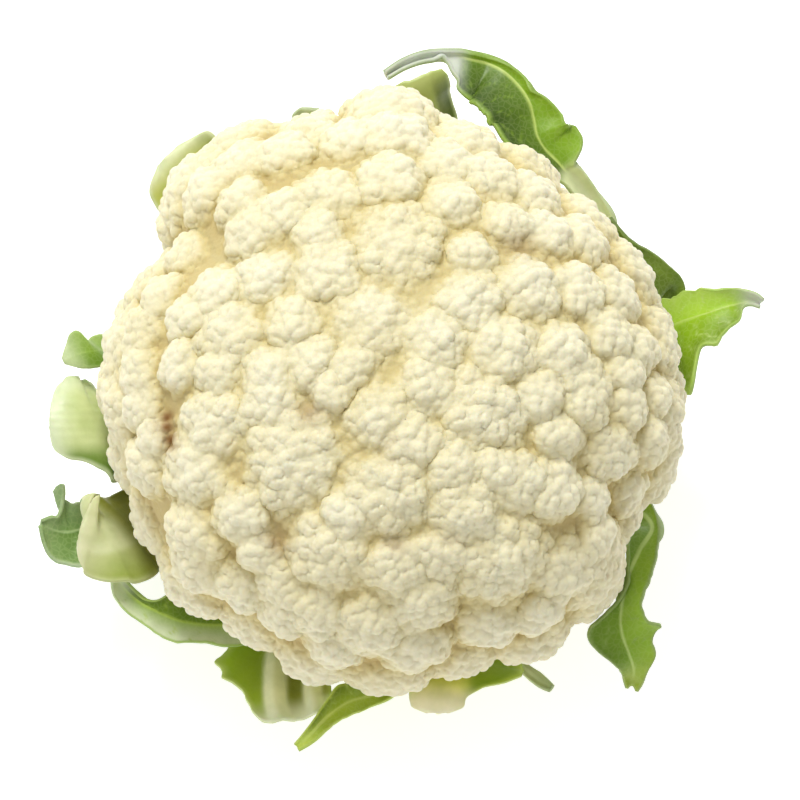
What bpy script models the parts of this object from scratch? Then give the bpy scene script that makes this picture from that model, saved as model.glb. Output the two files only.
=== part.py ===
"""A trimmed head of cauliflower, standing on its cut stem.

Metres, +Z up. The origin is the middle of the stem's cut face, and -Y is the side that the
photograph shows at its lower edge.

The curd is one body, raised from a fine sphere by a formula: along each direction from the
head's middle it reaches as far as the furthest ball there. The balls are the florets, the
lumps on them, and the branches under them. Each leaf is a waved sheet along its rib, thickened
away from the curd.
"""
import math

import bmesh
import bpy
import numpy as np

# Driving sizes
CURD_WIDTH = 0.170
WIDEST_LEVEL = 0.064
CURD_RISE = 0.064
CURD_DROP = 0.036
STEM_RADIUS = 0.022
STEM_HEIGHT = 0.030
GAP = 0.0003

# How the photograph is read: its camera, and the pixels that span the curd
VIEW_ELEVATION = math.radians(76)
VIEW_DISTANCE = 0.90
SEARCH_REACH = 0.08
SEARCH_STEPS = 900
CURD_WIDTH_PX = 585
CURD_CENTRE_PX = (390, 392)
PIXEL = CURD_WIDTH / CURD_WIDTH_PX

# The curd's outline: its radius in pixels, every 15 degrees from +X round by +Y, and how much
# further out the smooth form goes, as the edge that is seen runs between lumps
OUTLINE_PX = [290, 285, 281, 270, 276, 279, 305, 287, 306, 304, 264, 282,
              287, 281, 284, 294, 284, 296, 301, 290, 302, 300, 276, 292]
OUTLINE_GROWTH = 0.0015

# The power of the curd's smooth form: 2 would be an ellipsoid, and more is fuller
ROUNDNESS = 2.2

# Each main floret as the photograph shows it: pixels across, pixels down, radius in pixels
FLORETS_PX = [
    (400, 120, 34), (342, 128, 32), (285, 138, 28), (232, 150, 30), (190, 190, 26), (448, 150, 32),
    (498, 165, 34), (545, 185, 28), (330, 182, 32), (390, 168, 30), (280, 205, 22), (240, 228, 26),
    (235, 190, 20), (455, 195, 26), (512, 215, 22), (555, 222, 26), (592, 228, 24),
    (176, 245, 28), (150, 290, 18), (210, 284, 24), (262, 270, 30), (325, 262, 32), (315, 225, 20),
    (408, 235, 50), (475, 250, 18), (475, 295, 32), (535, 282, 32), (590, 285, 26), (630, 290, 24),
    (130, 325, 26), (178, 312, 20), (225, 330, 34), (290, 320, 26), (370, 320, 42), (435, 335, 28),
    (508, 345, 34), (570, 350, 28), (620, 330, 26), (652, 345, 20), (635, 372, 18),
    (125, 375, 24), (170, 365, 18), (212, 372, 18), (262, 368, 20), (308, 360, 22), (350, 365, 18),
    (265, 398, 28), (380, 415, 32), (330, 392, 14), (430, 385, 26), (490, 405, 46), (545, 400, 22),
    (595, 392, 30), (640, 402, 20), (668, 395, 18), (130, 410, 22), (205, 420, 34), (140, 440, 16),
    (665, 445, 22), (565, 440, 22), (620, 460, 30), (132, 470, 26), (185, 475, 36), (295, 465, 56),
    (415, 440, 24), (457, 470, 22), (500, 472, 16), (525, 488, 26), (567, 488, 26), (605, 500, 20),
    (640, 500, 22), (390, 495, 42), (465, 515, 36), (235, 525, 24), (180, 540, 30), (610, 540, 20),
    (345, 520, 18), (255, 560, 18), (185, 580, 28), (235, 600, 26), (272, 592, 24), (330, 562, 42),
    (400, 575, 30), (445, 562, 24), (505, 570, 46), (575, 580, 34), (310, 622, 30), (430, 612, 32),
    (365, 640, 38), (275, 625, 22), (550, 625, 24), (490, 640, 30), (425, 662, 30), (330, 662, 26),
]

# Florets round the sides and the back, which the photograph hides: height over the widest
# level, how many go round, their radius, how close they come to others as a share of the radii
SIDE_RINGS = [(0.032, 20, 0.0105), (0.017, 22, 0.0115), (-0.002, 24, 0.0115),
              (-0.017, 22, 0.0105), (-0.029, 18, 0.0085)]
CLOSEST = 0.72

# Each floret's ball as a multiple of its radius, and the plain inside as a share of the smooth
# form, at the top and at the bottom, and how soon below the widest level the second is reached
BALL_TO_FLORET = 1.38
CORE_SHARE = 0.93
CORE_UNDER = 0.80
UNDER_FADE = 2.0

# Lumps on a floret: their radius, the largest share of the floret's ball that it may be, how far
# they stand out of the ball, how far round it they go, how many times they would cover it, how
# much they vary
LUMP_RADIUS = 0.0040
LUMP_SHARE = 0.55
LUMP_STAND = 0.0010
LUMP_SPREAD = math.radians(84)
LUMP_COVER = 1.1
LUMPS_AT_LEAST = 5
LUMP_VARIATION = 0.18
GOLDEN_ANGLE = math.pi * (3 - math.sqrt(5))

# The branches under the florets: distance from the axis, height and radius at either end
BRANCHES = 10
BRANCH_INNER = (0.013, 0.034, 0.0085)
BRANCH_OUTER = (0.058, 0.050, 0.0060)
BRANCH_BALLS = 7

# How often the curd's sphere is divided, and the share of its faces that is kept
CURD_FINENESS = 7
CURD_KEPT = 0.097

# The stem's side: shares of its radius and of its height, and the chamfer round the cut
STEM_WAIST = [(0.90, 1.0), (0.95, 0.8), (0.93, 0.5), (1.0, 0.2)]
STEM_LIP = 0.0012
STEM_SIDES = 28

# The leaves: levels on the stem where their ribs start, their edge thickness, the gap to the curd
LEAF_LEVELS = (0.0085, 0.0170, 0.0255)
BLADE_THICKNESS = 0.0011
LEAF_CLEARANCE = 0.0022

# The hidden start of a rib: its gap to the stem, its half width, and where it turns upward as
# shares of the way out and of the rise to the leaf's first seen row
RIB_GAP = 0.0009
RIB_START = 0.0075
TURN_OUT = 0.62
TURN_RISE = 0.28

# The end of a rib: the share of the length where it thins, and how much of it goes
TAPER_START = 0.86
TAPER = 0.75

# The waves and tears of a leaf's edge: waves along it, the share of the length that stays plain,
# how much of the width a tear takes
WAVES = 2.6
PLAIN_START = 0.3
TEAR_START = 0.4
TEAR = 0.18

# How finely a leaf is divided: steps along it and columns across a wide or a narrow one
STEPS_AT_LEAST = 6
STEPS_A_ROW = 2
WIDE_LEAF_MM = 12
WIDE_COLUMNS = 7
NARROW_COLUMNS = 5
PATH_STEPS = 12

# Each leaf: the level on the stem and the azimuth in degrees that it starts at, its material, its
# rib's thickness and half width at the base and at the tip, how far its edges stand above its
# middle, the height of its waves, and ridges by place across, half width and height, all in mm.
# The rows are, from its base to its tip: pixel across, pixel down, height, width to its left,
# width to its right, lean (all but the pixels in mm and degrees)
LEAVES = {
    "leaf_top_rib": dict(
        level=2, base=80, slot="rib", rib=(6.5, 5.0), flesh=(9, 10), cup=-1.5, wave=0.3,
        rows=[(432, 124, 40, 9, 8, 0), (426, 100, 50, 9.5, 8.5, 0), (421, 83, 55, 9.5, 8.5, 0),
              (419, 77, 56, 8, 7.5, 0)]),
    "leaf_top_blade": dict(
        level=1, base=45, slot="green", rib=(5.0, 1.2), flesh=(4.5, 1.0), cup=2.0, wave=0.6,
        rows=[(603, 222, 38, 3.5, 2.5, 0), (587, 197, 46, 3.5, 3, 0), (571, 176, 54, 3.5, 3, 0),
              (563, 168, 57, 3.8, 3.2, 0), (559, 163, 58, 4.2, 9, -4), (552, 156, 59, 5, 11, -8),
              (544, 148, 60, 7, 9.8, -10), (537, 135, 61, 10.5, 9.2, -10), (534, 119, 61, 14, 7.8, -10),
              (530, 104, 62, 14.5, 4.2, -10),
              (526, 96, 62, 14.5, 1.4, -10), (518, 85, 62, 14.5, 2.2, -8), (503, 71, 62, 14.5, 1.6, -6),
              (487, 63, 61, 13.5, 1, 0), (470, 59, 62, 12, 1, 0), (460, 57, 62.3, 9, 1, 0),
              (453, 57, 62.6, 6, 1, 0), (446, 57, 63, 1, 1, 0), (428, 58, 65, 0.9, 0.9, 0),
              (404, 66, 67, 0.8, 0.8, 0), (386, 77, 67, 0.5, 0.5, 0)]),
    "leaf_right_strip": dict(
        level=0, base=27, slot="green", rib=(4.5, 1.6), flesh=(4.0, 1.4), cup=1.0, wave=0.5,
        rows=[(664, 300, 34, 4, 5, 0), (674, 287, 42, 5, 3, 0), (646, 262, 48, 6, 3, 0),
              (624, 243, 52, 2, 1, 0), (614, 230, 53, 0.8, 0.8, 0), (607, 219, 53, 0.6, 0.6, 0)]),
    "leaf_right": dict(
        level=2, base=8, slot="bright", rib=(5.0, 1.2), flesh=(4.5, 1.0), cup=1.5, wave=1.2,
        rows=[(652, 335, 42, 7, 8, 0), (672, 325, 50, 9, 20, 0), (687, 319, 55, 8.5, 19.5, 3),
              (697, 316, 57, 8, 10.5, 5), (710, 312, 59, 7, 9.5, 6), (722, 308, 60, 5.6, 6.8, 8),
              (733, 305, 60, 4.2, 5.2, 8), (741, 303, 59, 3, 1, 5), (751, 301, 58, 1.6, 0.6, 0),
              (760, 304, 57, 0.5, 0.5, 0)]),
    "leaf_lower_right": dict(
        level=1, base=330, slot="green", rib=(5.0, 1.3), flesh=(4.5, 1.1), cup=1.5, wave=1.0,
        rows=[(641, 512, 38, 4, 4, 0), (652, 528, 46, 1.5, 5, 0), (640, 550, 52, 4.6, 7, 0),
              (626, 582, 56, 6, 4.7, 0), (622, 602, 57, 5.8, 5.2, 0), (621, 625, 57, 7.8, 10.7, 0),
              (624, 641, 55, 11.5, 8.4, 0), (629, 653, 53, 7.8, 6, 0), (633, 664, 50, 7, 4.6, 0),
              (634, 672, 47, 3.4, 3.6, 0), (633, 680, 44, 2.2, 2.2, 0), (632, 686, 42, 1, 1, 0)]),
    "leaf_sliver": dict(
        level=0, base=300, slot="pale", rib=(3.0, 1.4), flesh=(2.7, 1.2), cup=0.3, wave=0.2,
        rows=[(506, 645, 26, 2.5, 2.5, 0), (518, 661, 31, 1.2, 1.2, 0), (527, 670, 35, 1.6, 1.6, 0),
              (537, 678, 38, 1.8, 1.6, 0), (545, 684, 40, 1.2, 1.2, 0), (551, 688, 41, 0.5, 0.5, 0)]),
    "leaf_bottom_stub": dict(
        level=2, base=285, slot="rib", rib=(7.0, 6.0), flesh=(8, 9), cup=-1.0, wave=0.3,
        rows=[(442, 650, 34, 23, 8, 0), (441, 660, 38, 24, 8, 0), (440, 670, 42, 20, 8.2, 0),
              (439, 680, 45, 12.5, 8.4, 0), (438, 691, 47, 8.6, 8.4, 0), (438, 701, 48.5, 8, 8, 0),
              (438, 709, 49, 6.5, 6.5, 0), (438, 713, 49, 3.5, 3.5, 0)]),
    "leaf_pointed": dict(
        level=1, base=266, slot="bright", rib=(4.0, 1.2), flesh=(3.6, 1.0), cup=0.8, wave=0.5,
        rows=[(396, 672, 32, 4, 4, 0), (384, 690, 40, 3, 3.5, 0), (364, 697, 46, 3.2, 4.5, 0),
              (345, 704, 51, 3.8, 5, 0), (333, 712, 53, 3, 3.4, 0), (320, 724, 55, 2.4, 2, 0),
              (308, 737, 55, 1.8, 1.5, 0), (297, 747, 54, 0.6, 0.6, 0)]),
    "leaf_rib_pair": dict(
        level=0, base=250, slot="rib", rib=(5.0, 3.0), flesh=(12, 14), cup=0.8, wave=0.5,
        ridges=[(-6.0, 2.6, 2.2), (5.0, 3.0, 2.6)],
        rows=[(298, 640, 24, 10, 14, 0), (293, 665, 31, 11, 21, 0), (292, 685, 36, 11.5, 17.5, 0),
              (293, 702, 40, 10.5, 12, 0), (296, 714, 42, 9, 9.5, 0), (297, 719, 42.5, 7, 7, 0)]),
    "leaf_band": dict(
        level=2, base=232, slot="green", rib=(4.5, 1.4), flesh=(4.0, 1.2), cup=1.0, wave=0.6,
        rows=[(258, 612, 36, 6, 6, 0), (230, 624, 40, 7, 7, 0), (198, 624, 43, 5, 7, 0),
              (176, 620, 45, 6, 8, 0), (164, 615, 46, 5.6, 8, 0), (153, 610, 47, 5, 3, 0),
              (143, 605, 47.5, 4.6, 1.5, 0), (130, 595, 48, 4, 1.5, 0), (121, 585, 47, 2.4, 1.2, 0),
              (117, 579, 46, 0.6, 0.6, 0)]),
    "leaf_left_rib": dict(
        level=1, base=214, slot="cream", rib=(6.5, 5.0), flesh=(13, 13), cup=-1.0, wave=0.3,
        rows=[(150, 520, 38, 12, 12, 0), (130, 528, 47, 15, 13, 0), (112, 535, 54, 15.5, 14, 0),
              (98, 537, 58, 12.5, 13, 0), (90, 535, 59.5, 10.5, 11.5, 0), (84, 534, 60, 8, 9, 0),
              (79, 533, 60, 4, 4.5, 0)]),
    "leaf_blue": dict(
        level=0, base=196, slot="blue", rib=(4.5, 1.2), flesh=(4.0, 1.0), cup=1.5, wave=1.0,
        rows=[(112, 520, 24, 7, 7, 0), (90, 526, 31, 10, 8, 0), (76, 530, 35, 12, 9, 0),
              (69, 532, 37, 11.5, 14, 0), (63, 532, 38, 10.5, 13, 0), (57, 531, 39, 9, 6, 0),
              (47, 527, 41, 4, 3, 0), (41, 524, 42, 0.6, 0.6, 0)]),
    "leaf_left_stub": dict(
        level=2, base=180, slot="rib", rib=(6.5, 5.0), flesh=(12, 14), cup=-2.5, wave=0.3,
        rows=[(128, 421, 38, 12, 11, 0), (112, 420, 46, 17, 12.5, 0), (102, 419, 50.5, 19, 13.5, 0),
              (93, 419, 53.5, 14.5, 13.5, 0), (82, 419, 55.5, 12.5, 13.8, 0), (71, 419, 56.5, 12, 13.6, 0),
              (62, 419, 57, 10.8, 12.6, 0), (55, 419, 57, 9, 11, 0), (51, 419, 56.5, 7, 8.5, 0),
              (49, 419, 56, 4.5, 5.5, 0)]),
    "leaf_left_green": dict(
        level=1, base=160, slot="green", rib=(4.5, 1.6), flesh=(4.0, 1.4), cup=-0.4, wave=0.4,
        rows=[(130, 354, 36, 6, 6, 0), (106, 350, 47, 5, 6, 0), (93, 351, 54, 4.9, 5.2, 0),
              (82, 353, 56, 4.6, 7.5, 0), (71, 357, 57, 3.4, 4.0, 0), (63, 361, 57, 1, 1, 0)]),
    "leaf_upper_left": dict(
        level=2, base=130, slot="rib", rib=(5.5, 4.0), flesh=(12, 14), cup=-1.5, wave=0.3,
        rows=[(209, 211, 40, 9, 9, 0), (193, 192, 49, 11, 12, 0), (184, 181, 54, 11.5, 15, 0),
              (176, 171, 57, 10, 16.5, 0), (169, 163, 59, 6.4, 13, 0), (164, 158, 59.5, 2.5, 6.5, 0)]),
    "leaf_tiny": dict(
        level=0, base=105, slot="green", rib=(3.0, 1.4), flesh=(2.7, 1.2), cup=0.5, wave=0.3,
        rows=[(312, 142, 32, 4, 4, 0), (309, 124, 42, 4.2, 4.2, 0), (308, 113, 47, 4, 4, 0),
              (308, 109, 48, 2.4, 3, 0)]),
}

COLOURS = {
    "curd": (0.90, 0.84, 0.66),
    "stem": (0.72, 0.76, 0.50),
    "rib": (0.62, 0.72, 0.36),
    "cream": (0.80, 0.80, 0.55),
    "green": (0.14, 0.30, 0.06),
    "bright": (0.32, 0.52, 0.09),
    "blue": (0.13, 0.27, 0.13),
    "pale": (0.55, 0.68, 0.42),
}


def clear_scene():
    for item in list(bpy.data.objects):
        bpy.data.objects.remove(item)


def material(name):
    made = bpy.data.materials.get(name)
    if made is None:
        made = bpy.data.materials.new(name)
        made.use_nodes = True
        shader = made.node_tree.nodes["Principled BSDF"]
        shader.inputs["Base Color"].default_value = (*COLOURS[name], 1)
        shader.inputs["Roughness"].default_value = 0.5
        shader.inputs["Metallic"].default_value = 0
    return made


def add_object(name, mesh, collection, colour):
    mesh.materials.append(material(colour))
    made = bpy.data.objects.new(name, mesh)
    collection.objects.link(made)
    return made


def outline_radius(azimuth):
    """The curd's radius at its widest level, in a direction seen from above."""
    step = 2 * math.pi / len(OUTLINE_PX)
    place = np.mod(azimuth, 2 * math.pi) / step
    low = np.floor(place).astype(int)
    share = 0.5 - 0.5 * np.cos(math.pi * (place - low))
    ring = np.array(OUTLINE_PX) * PIXEL + OUTLINE_GROWTH
    return ring[low % len(ring)] * (1 - share) + ring[(low + 1) % len(ring)] * share


def fullness(points):
    """Below 1 inside the curd's smooth outer form and above 1 outside it."""
    radius = outline_radius(np.arctan2(points[:, 1], points[:, 0]))
    level = points[:, 2] - WIDEST_LEVEL
    height = np.where(level > 0, CURD_RISE, CURD_DROP)
    across = np.hypot(points[:, 0], points[:, 1]) / radius
    return across ** ROUNDNESS + (np.abs(level) / height) ** ROUNDNESS


def surface_normal(point):
    """The way out of the smooth form at a point."""
    step = 0.0005
    offsets = np.vstack([np.eye(3), -np.eye(3)]) * step
    values = fullness(point + offsets)
    slope = values[:3] - values[3:]
    return slope / np.linalg.norm(slope)


def camera_axes():
    """The photograph's way right, its way up, and the way back to its camera."""
    right = np.array([1.0, 0.0, 0.0])
    up = np.array([0.0, math.sin(VIEW_ELEVATION), math.cos(VIEW_ELEVATION)])
    back = np.array([0.0, -math.cos(VIEW_ELEVATION), math.sin(VIEW_ELEVATION)])
    return right, up, back


def sight_line(across_px, down_px):
    """The camera's place and the unit direction that a pixel looks along."""
    right, up, back = camera_axes()
    middle = np.array([0.0, 0.0, WIDEST_LEVEL])
    camera = middle + back * VIEW_DISTANCE
    target = (middle + right * (across_px - CURD_CENTRE_PX[0]) * PIXEL
              + up * (CURD_CENTRE_PX[1] - down_px) * PIXEL)
    way = target - camera
    return camera, way / np.linalg.norm(way)


def seen_at_height(across_px, down_px, height):
    """The point at a height that the photograph shows at a pixel."""
    camera, way = sight_line(across_px, down_px)
    return camera + way * (height - camera[2]) / way[2]


def seen_on_curd(across_px, down_px):
    """The point of the smooth form that the photograph shows at a pixel."""
    camera, way = sight_line(across_px, down_px)
    depths = np.linspace(VIEW_DISTANCE - SEARCH_REACH, VIEW_DISTANCE + SEARCH_REACH, SEARCH_STEPS)
    points = camera + depths[:, None] * way
    values = fullness(points)
    inside = np.nonzero(values < 1)[0]
    first = inside[0] if len(inside) else np.argmin(values)
    return points[first]


def ball_under(point, floret_radius):
    """The ball whose lumps just reach the smooth form at a point."""
    radius = floret_radius * BALL_TO_FLORET
    normal = surface_normal(point)
    return point - normal * (radius + LUMP_STAND), radius, normal


def main_florets():
    """Centre, radius and way out of each main floret."""
    places = [(seen_on_curd(across, down), radius * PIXEL) for across, down, radius in FLORETS_PX]
    for row, (level, count, radius) in enumerate(SIDE_RINGS):
        height = CURD_RISE if level > 0 else CURD_DROP
        share = (1 - (abs(level) / height) ** ROUNDNESS) ** (1 / ROUNDNESS)
        for index in range(count):
            azimuth = 2 * math.pi * (index + 0.5 * row) / count
            reach = float(outline_radius(np.array([azimuth]))[0]) * share
            point = np.array([reach * math.cos(azimuth), reach * math.sin(azimuth),
                              WIDEST_LEVEL + level])
            if all(np.linalg.norm(point - other) > CLOSEST * (radius + size)
                   for other, size in places):
                places.append((point, radius))
    return [ball_under(point, radius) for point, radius in places]


def floret_lumps(centre, radius, normal, chance):
    """The lumps of one floret, on a spiral round the way out."""
    turn = chance.uniform(0, 2 * math.pi)
    side = np.cross(normal, [0.0, 0.0, 1.0])
    if np.linalg.norm(side) < 0.1:
        side = np.array([1.0, 0.0, 0.0])
    side /= np.linalg.norm(side)
    other = np.cross(normal, side)
    cap = 1 - math.cos(LUMP_SPREAD)
    lump = min(LUMP_RADIUS, radius * LUMP_SHARE)
    count = max(LUMPS_AT_LEAST, round(2 * cap * LUMP_COVER * (radius / lump) ** 2))
    lumps = []
    for index in range(count):
        height = 1 - cap * (index + 0.5) / count
        out = math.sqrt(1 - height * height)
        angle = index * GOLDEN_ANGLE + turn
        way = normal * height + (side * math.cos(angle) + other * math.sin(angle)) * out
        size = lump * (1 + LUMP_VARIATION * chance.uniform(-1, 1))
        lumps.append((centre + way * (radius + LUMP_STAND - lump), size))
    return lumps


def branch_balls():
    """Balls that taper along each branch, from the stem out to the florets."""
    balls = []
    inner = np.array(BRANCH_INNER)
    outer = np.array(BRANCH_OUTER)
    for index in range(BRANCHES):
        azimuth = 2 * math.pi * index / BRANCHES
        for share in np.linspace(0, 1, BRANCH_BALLS):
            reach, height, radius = (1 - share) * inner + share * outer
            centre = np.array([reach * math.cos(azimuth), reach * math.sin(azimuth), height])
            balls.append((centre, radius))
    return balls


def curd_balls():
    """All balls of the curd, as an array of centres and an array of radii."""
    chance = np.random.default_rng(7)
    balls = branch_balls()
    for centre, radius, normal in main_florets():
        balls.append((centre, radius))
        balls.extend(floret_lumps(centre, radius, normal, chance))
    centres = np.array([centre for centre, radius in balls])
    radii = np.array([radius for centre, radius in balls])
    return centres, radii


def core_reach(ways):
    """How far the smooth core goes along each direction from the head's middle."""
    azimuth = np.arctan2(ways[:, 1], ways[:, 0])
    across = np.hypot(ways[:, 0], ways[:, 1]) / outline_radius(azimuth)
    height = np.where(ways[:, 2] > 0, CURD_RISE, CURD_DROP)
    fill = across ** ROUNDNESS + (np.abs(ways[:, 2]) / height) ** ROUNDNESS
    under = np.clip(-ways[:, 2] * UNDER_FADE, 0, 1)
    share = CORE_SHARE + (CORE_UNDER - CORE_SHARE) * under
    return share * fill ** (-1 / ROUNDNESS)


def curd_reach(ways, centres, radii):
    """How far the curd goes along each direction from the head's middle."""
    middle = np.array([0.0, 0.0, WIDEST_LEVEL])
    offsets = centres - middle
    spare = radii ** 2 - (offsets ** 2).sum(axis=1)
    reach = core_reach(ways)
    for start in range(0, len(ways), 2000):
        part = slice(start, start + 2000)
        along = ways[part] @ offsets.T
        inside = along ** 2 + spare
        far = np.where((inside > 0) & (along > 0), along + np.sqrt(np.maximum(inside, 0)), 0)
        reach[part] = np.maximum(reach[part], far.max(axis=1))
    return reach


def make_curd(collection):
    """The curd: a fine sphere raised by the formula, then thinned to few faces."""
    bm = bmesh.new()
    bmesh.ops.create_icosphere(bm, subdivisions=CURD_FINENESS, radius=1)
    ways = np.array([vertex.co[:] for vertex in bm.verts])
    ways /= np.linalg.norm(ways, axis=1)[:, None]
    reach = curd_reach(ways, *curd_balls())
    foot = STEM_HEIGHT + GAP
    for vertex, way, distance in zip(bm.verts, ways, reach):
        if way[2] < 0:
            distance = min(distance, (foot - WIDEST_LEVEL) / way[2])
        vertex.co = way * distance
        vertex.co.z += WIDEST_LEVEL
    mesh = bpy.data.meshes.new("curd")
    bm.to_mesh(mesh)
    bm.free()
    mesh.shade_smooth()
    curd = add_object("curd", mesh, collection, "curd")
    thinning = curd.modifiers.new("Thinning", "DECIMATE")
    thinning.ratio = CURD_KEPT
    thinning.use_collapse_triangulate = True
    return curd


def make_stem(collection):
    """The stump, turned round its axis from a profile that runs down its side."""
    waist = [(STEM_RADIUS * width, STEM_HEIGHT * height) for width, height in STEM_WAIST]
    foot = [(STEM_RADIUS, STEM_LIP), (STEM_RADIUS - STEM_LIP, 0), (0, 0)]
    profile = [(0, STEM_HEIGHT)] + waist + foot
    mesh = bpy.data.meshes.new("stem")
    edges = [(index, index + 1) for index in range(len(profile) - 1)]
    mesh.from_pydata([(radius, 0, height) for radius, height in profile], edges, [])
    stem = add_object("stem", mesh, collection, "stem")
    turning = stem.modifiers.new("Turning", "SCREW")
    turning.steps = STEM_SIDES
    turning.render_steps = STEM_SIDES
    turning.use_smooth_shade = True
    turning.use_merge_vertices = True
    turning.merge_threshold = 0.00005
    return stem


def smooth_path(rows, count):
    """Rows of numbers at even steps along a smooth curve through the given rows."""
    rows = np.array(rows, dtype=float)
    before = 2 * rows[0] - rows[1]
    after = 2 * rows[-1] - rows[-2]
    knots = np.vstack([before, rows, after])
    spans = np.linalg.norm(np.diff(knots[:, :3], axis=0), axis=1)
    fine = []
    for index in range(1, len(knots) - 2):
        a, b, c, d = knots[index - 1:index + 3]
        first, second, third = spans[index - 1:index + 2]
        leaving = c - b + second * ((b - a) / first - (c - a) / (first + second))
        arriving = c - b + second * ((d - c) / third - (d - b) / (second + third))
        for share in np.linspace(0, 1, PATH_STEPS, endpoint=False):
            fine.append(b + leaving * share + (3 * (c - b) - 2 * leaving - arriving) * share ** 2
                        + (2 * (b - c) + leaving + arriving) * share ** 3)
    fine.append(rows[-1])
    fine = np.array(fine)
    lengths = np.linalg.norm(np.diff(fine[:, :3], axis=0), axis=1)
    travelled = np.concatenate([[0], np.cumsum(lengths)])
    wanted = np.linspace(0, travelled[-1], count)
    return np.column_stack([np.interp(wanted, travelled, column) for column in fine.T])


def leaf_rows(shape):
    """The leaf's rows in metres, with its hidden start at the stem put in front."""
    rows = []
    for across, down, height, left, right, lean in shape["rows"]:
        place = seen_at_height(across, down, height / 1000)
        rows.append([*place, left / 1000, right / 1000, math.radians(lean)])
    azimuth = math.radians(shape["base"])
    out = np.array([math.cos(azimuth), math.sin(azimuth)])
    level = LEAF_LEVELS[shape["level"]]
    width = min(RIB_START, rows[0][3] + BLADE_THICKNESS)
    base = [*(out * (STEM_RADIUS + RIB_GAP)), level, width, width, 0]
    near = np.array(rows[0][:2])
    turn = (out * np.linalg.norm(near) + near) / 2 * TURN_OUT
    rise = level + TURN_RISE * (rows[0][2] - level)
    middle = [*turn, rise, width, width, 0]
    return [base, middle] + rows


def between(pair, along):
    """A size in metres at a share of the way, from its two ends' sizes in millimetres."""
    return (pair[0] + (pair[1] - pair[0]) * along) / 1000


def smooth_step(value, low, high):
    share = min(1, max(0, (value - low) / (high - low)))
    return share * share * (3 - 2 * share)


def across_leaf(shape, half, place, along, phase, chance):
    """At one place across a leaf: its width there, its lift and its thickness."""
    side = int(place > 0)
    torn = abs(place) == 1 and along > TEAR_START
    width = place * half * (1 + TEAR * chance.uniform(-1, 1) * torn)
    ripple = math.sin(2 * math.pi * WAVES * along + phase[side]) * (along > PLAIN_START)
    lift = (shape["cup"] * place ** 2 + shape["wave"] * ripple * abs(place) ** 1.5) / 1000
    for middle, spread, height in shape.get("ridges", []):
        away = (place * half * 1000 - middle) / spread
        lift += height / 1000 * math.exp(-away ** 2) * (along > PLAIN_START)
    flesh = abs(place) * half / between(shape["flesh"], along)
    share = math.sqrt(1 - min(1, flesh) ** 2) * (1 - TAPER * smooth_step(along, TAPER_START, 1))
    rib = between(shape["rib"], along)
    thickness = BLADE_THICKNESS + max(0.0, rib - BLADE_THICKNESS) * share
    return width, lift, thickness


def leaf_sheet(name, shape, steps, columns):
    """Points of the leaf's upper face and its thickness at each, as grids."""
    chance = np.random.default_rng(sum(ord(letter) for letter in name))
    phase = chance.uniform(0, 2 * math.pi, 2)
    rows = smooth_path(leaf_rows(shape), steps)
    places = rows[:, :3]
    tangents = np.gradient(places, axis=0)
    tangents /= np.linalg.norm(tangents, axis=1)[:, None]
    sides = np.cross(tangents, [0.0, 0.0, 1.0])
    sides /= np.linalg.norm(sides, axis=1)[:, None]
    ups = np.cross(sides, tangents)
    points = np.zeros((steps, columns, 3))
    flesh = np.zeros((steps, columns))
    for row in range(steps):
        along = row / (steps - 1)
        left, right, lean = rows[row, 3:]
        side = sides[row] * math.cos(lean) + ups[row] * math.sin(lean)
        up = ups[row] * math.cos(lean) - sides[row] * math.sin(lean)
        for column in range(columns):
            place = 2 * column / (columns - 1) - 1
            half = right if place > 0 else left
            width, lift, thickness = across_leaf(shape, half, place, along, phase, chance)
            points[row, column] = places[row] + side * width + up * lift
            flesh[row, column] = thickness
    return points, flesh


def keep_off_curd(points, centres, radii):
    """Points of a leaf moved straight away from the head's middle, to clear the curd."""
    middle = np.array([0.0, 0.0, WIDEST_LEVEL])
    flat = points.reshape(-1, 3) - middle
    distance = np.linalg.norm(flat, axis=1)
    ways = flat / distance[:, None]
    needed = np.zeros(len(ways))
    for shift in np.vstack([np.zeros(3), np.eye(3), -np.eye(3)]) * 0.05:
        near = ways + shift
        near /= np.linalg.norm(near, axis=1)[:, None]
        needed = np.maximum(needed, curd_reach(near, centres, radii))
    needed += LEAF_CLEARANCE
    moved = middle + ways * np.maximum(distance, needed)[:, None]
    return moved.reshape(points.shape)


def make_leaf(name, shape, collection, centres, radii):
    """One leaf: a grid laid on its sheet, split into triangles and thickened downward."""
    steps = STEPS_AT_LEAST + STEPS_A_ROW * len(shape["rows"])
    widest = max(left + right for across, down, height, left, right, lean in shape["rows"])
    columns = WIDE_COLUMNS if widest > WIDE_LEAF_MM else NARROW_COLUMNS
    points, flesh = leaf_sheet(name, shape, steps, columns)
    points = keep_off_curd(points, centres, radii)
    bm = bmesh.new()
    bmesh.ops.create_grid(bm, x_segments=columns - 1, y_segments=steps - 1, size=1)
    bm.verts.ensure_lookup_table()
    weights = bm.verts.layers.deform.verify()
    for vertex in bm.verts:
        column = round((vertex.co.x + 1) / 2 * (columns - 1))
        row = round((vertex.co.y + 1) / 2 * (steps - 1))
        vertex.co = points[row, column]
        vertex[weights][0] = flesh[row, column] / flesh.max()
    bmesh.ops.triangulate(bm, faces=bm.faces)
    mesh = bpy.data.meshes.new(name)
    bm.to_mesh(mesh)
    bm.free()
    mesh.shade_smooth()
    leaf = add_object(name, mesh, collection, shape["slot"])
    leaf.vertex_groups.new(name="flesh")
    shell = leaf.modifiers.new("Flesh", "SOLIDIFY")
    shell.thickness = flesh.max()
    shell.offset = -1
    shell.vertex_group = "flesh"
    return leaf


def main():
    clear_scene()
    collection = bpy.data.collections.new("cauliflower")
    bpy.context.scene.collection.children.link(collection)
    make_curd(collection)
    make_stem(collection)
    centres, radii = curd_balls()
    for name, shape in LEAVES.items():
        make_leaf(name, shape, collection, centres, radii)


main()
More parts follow.
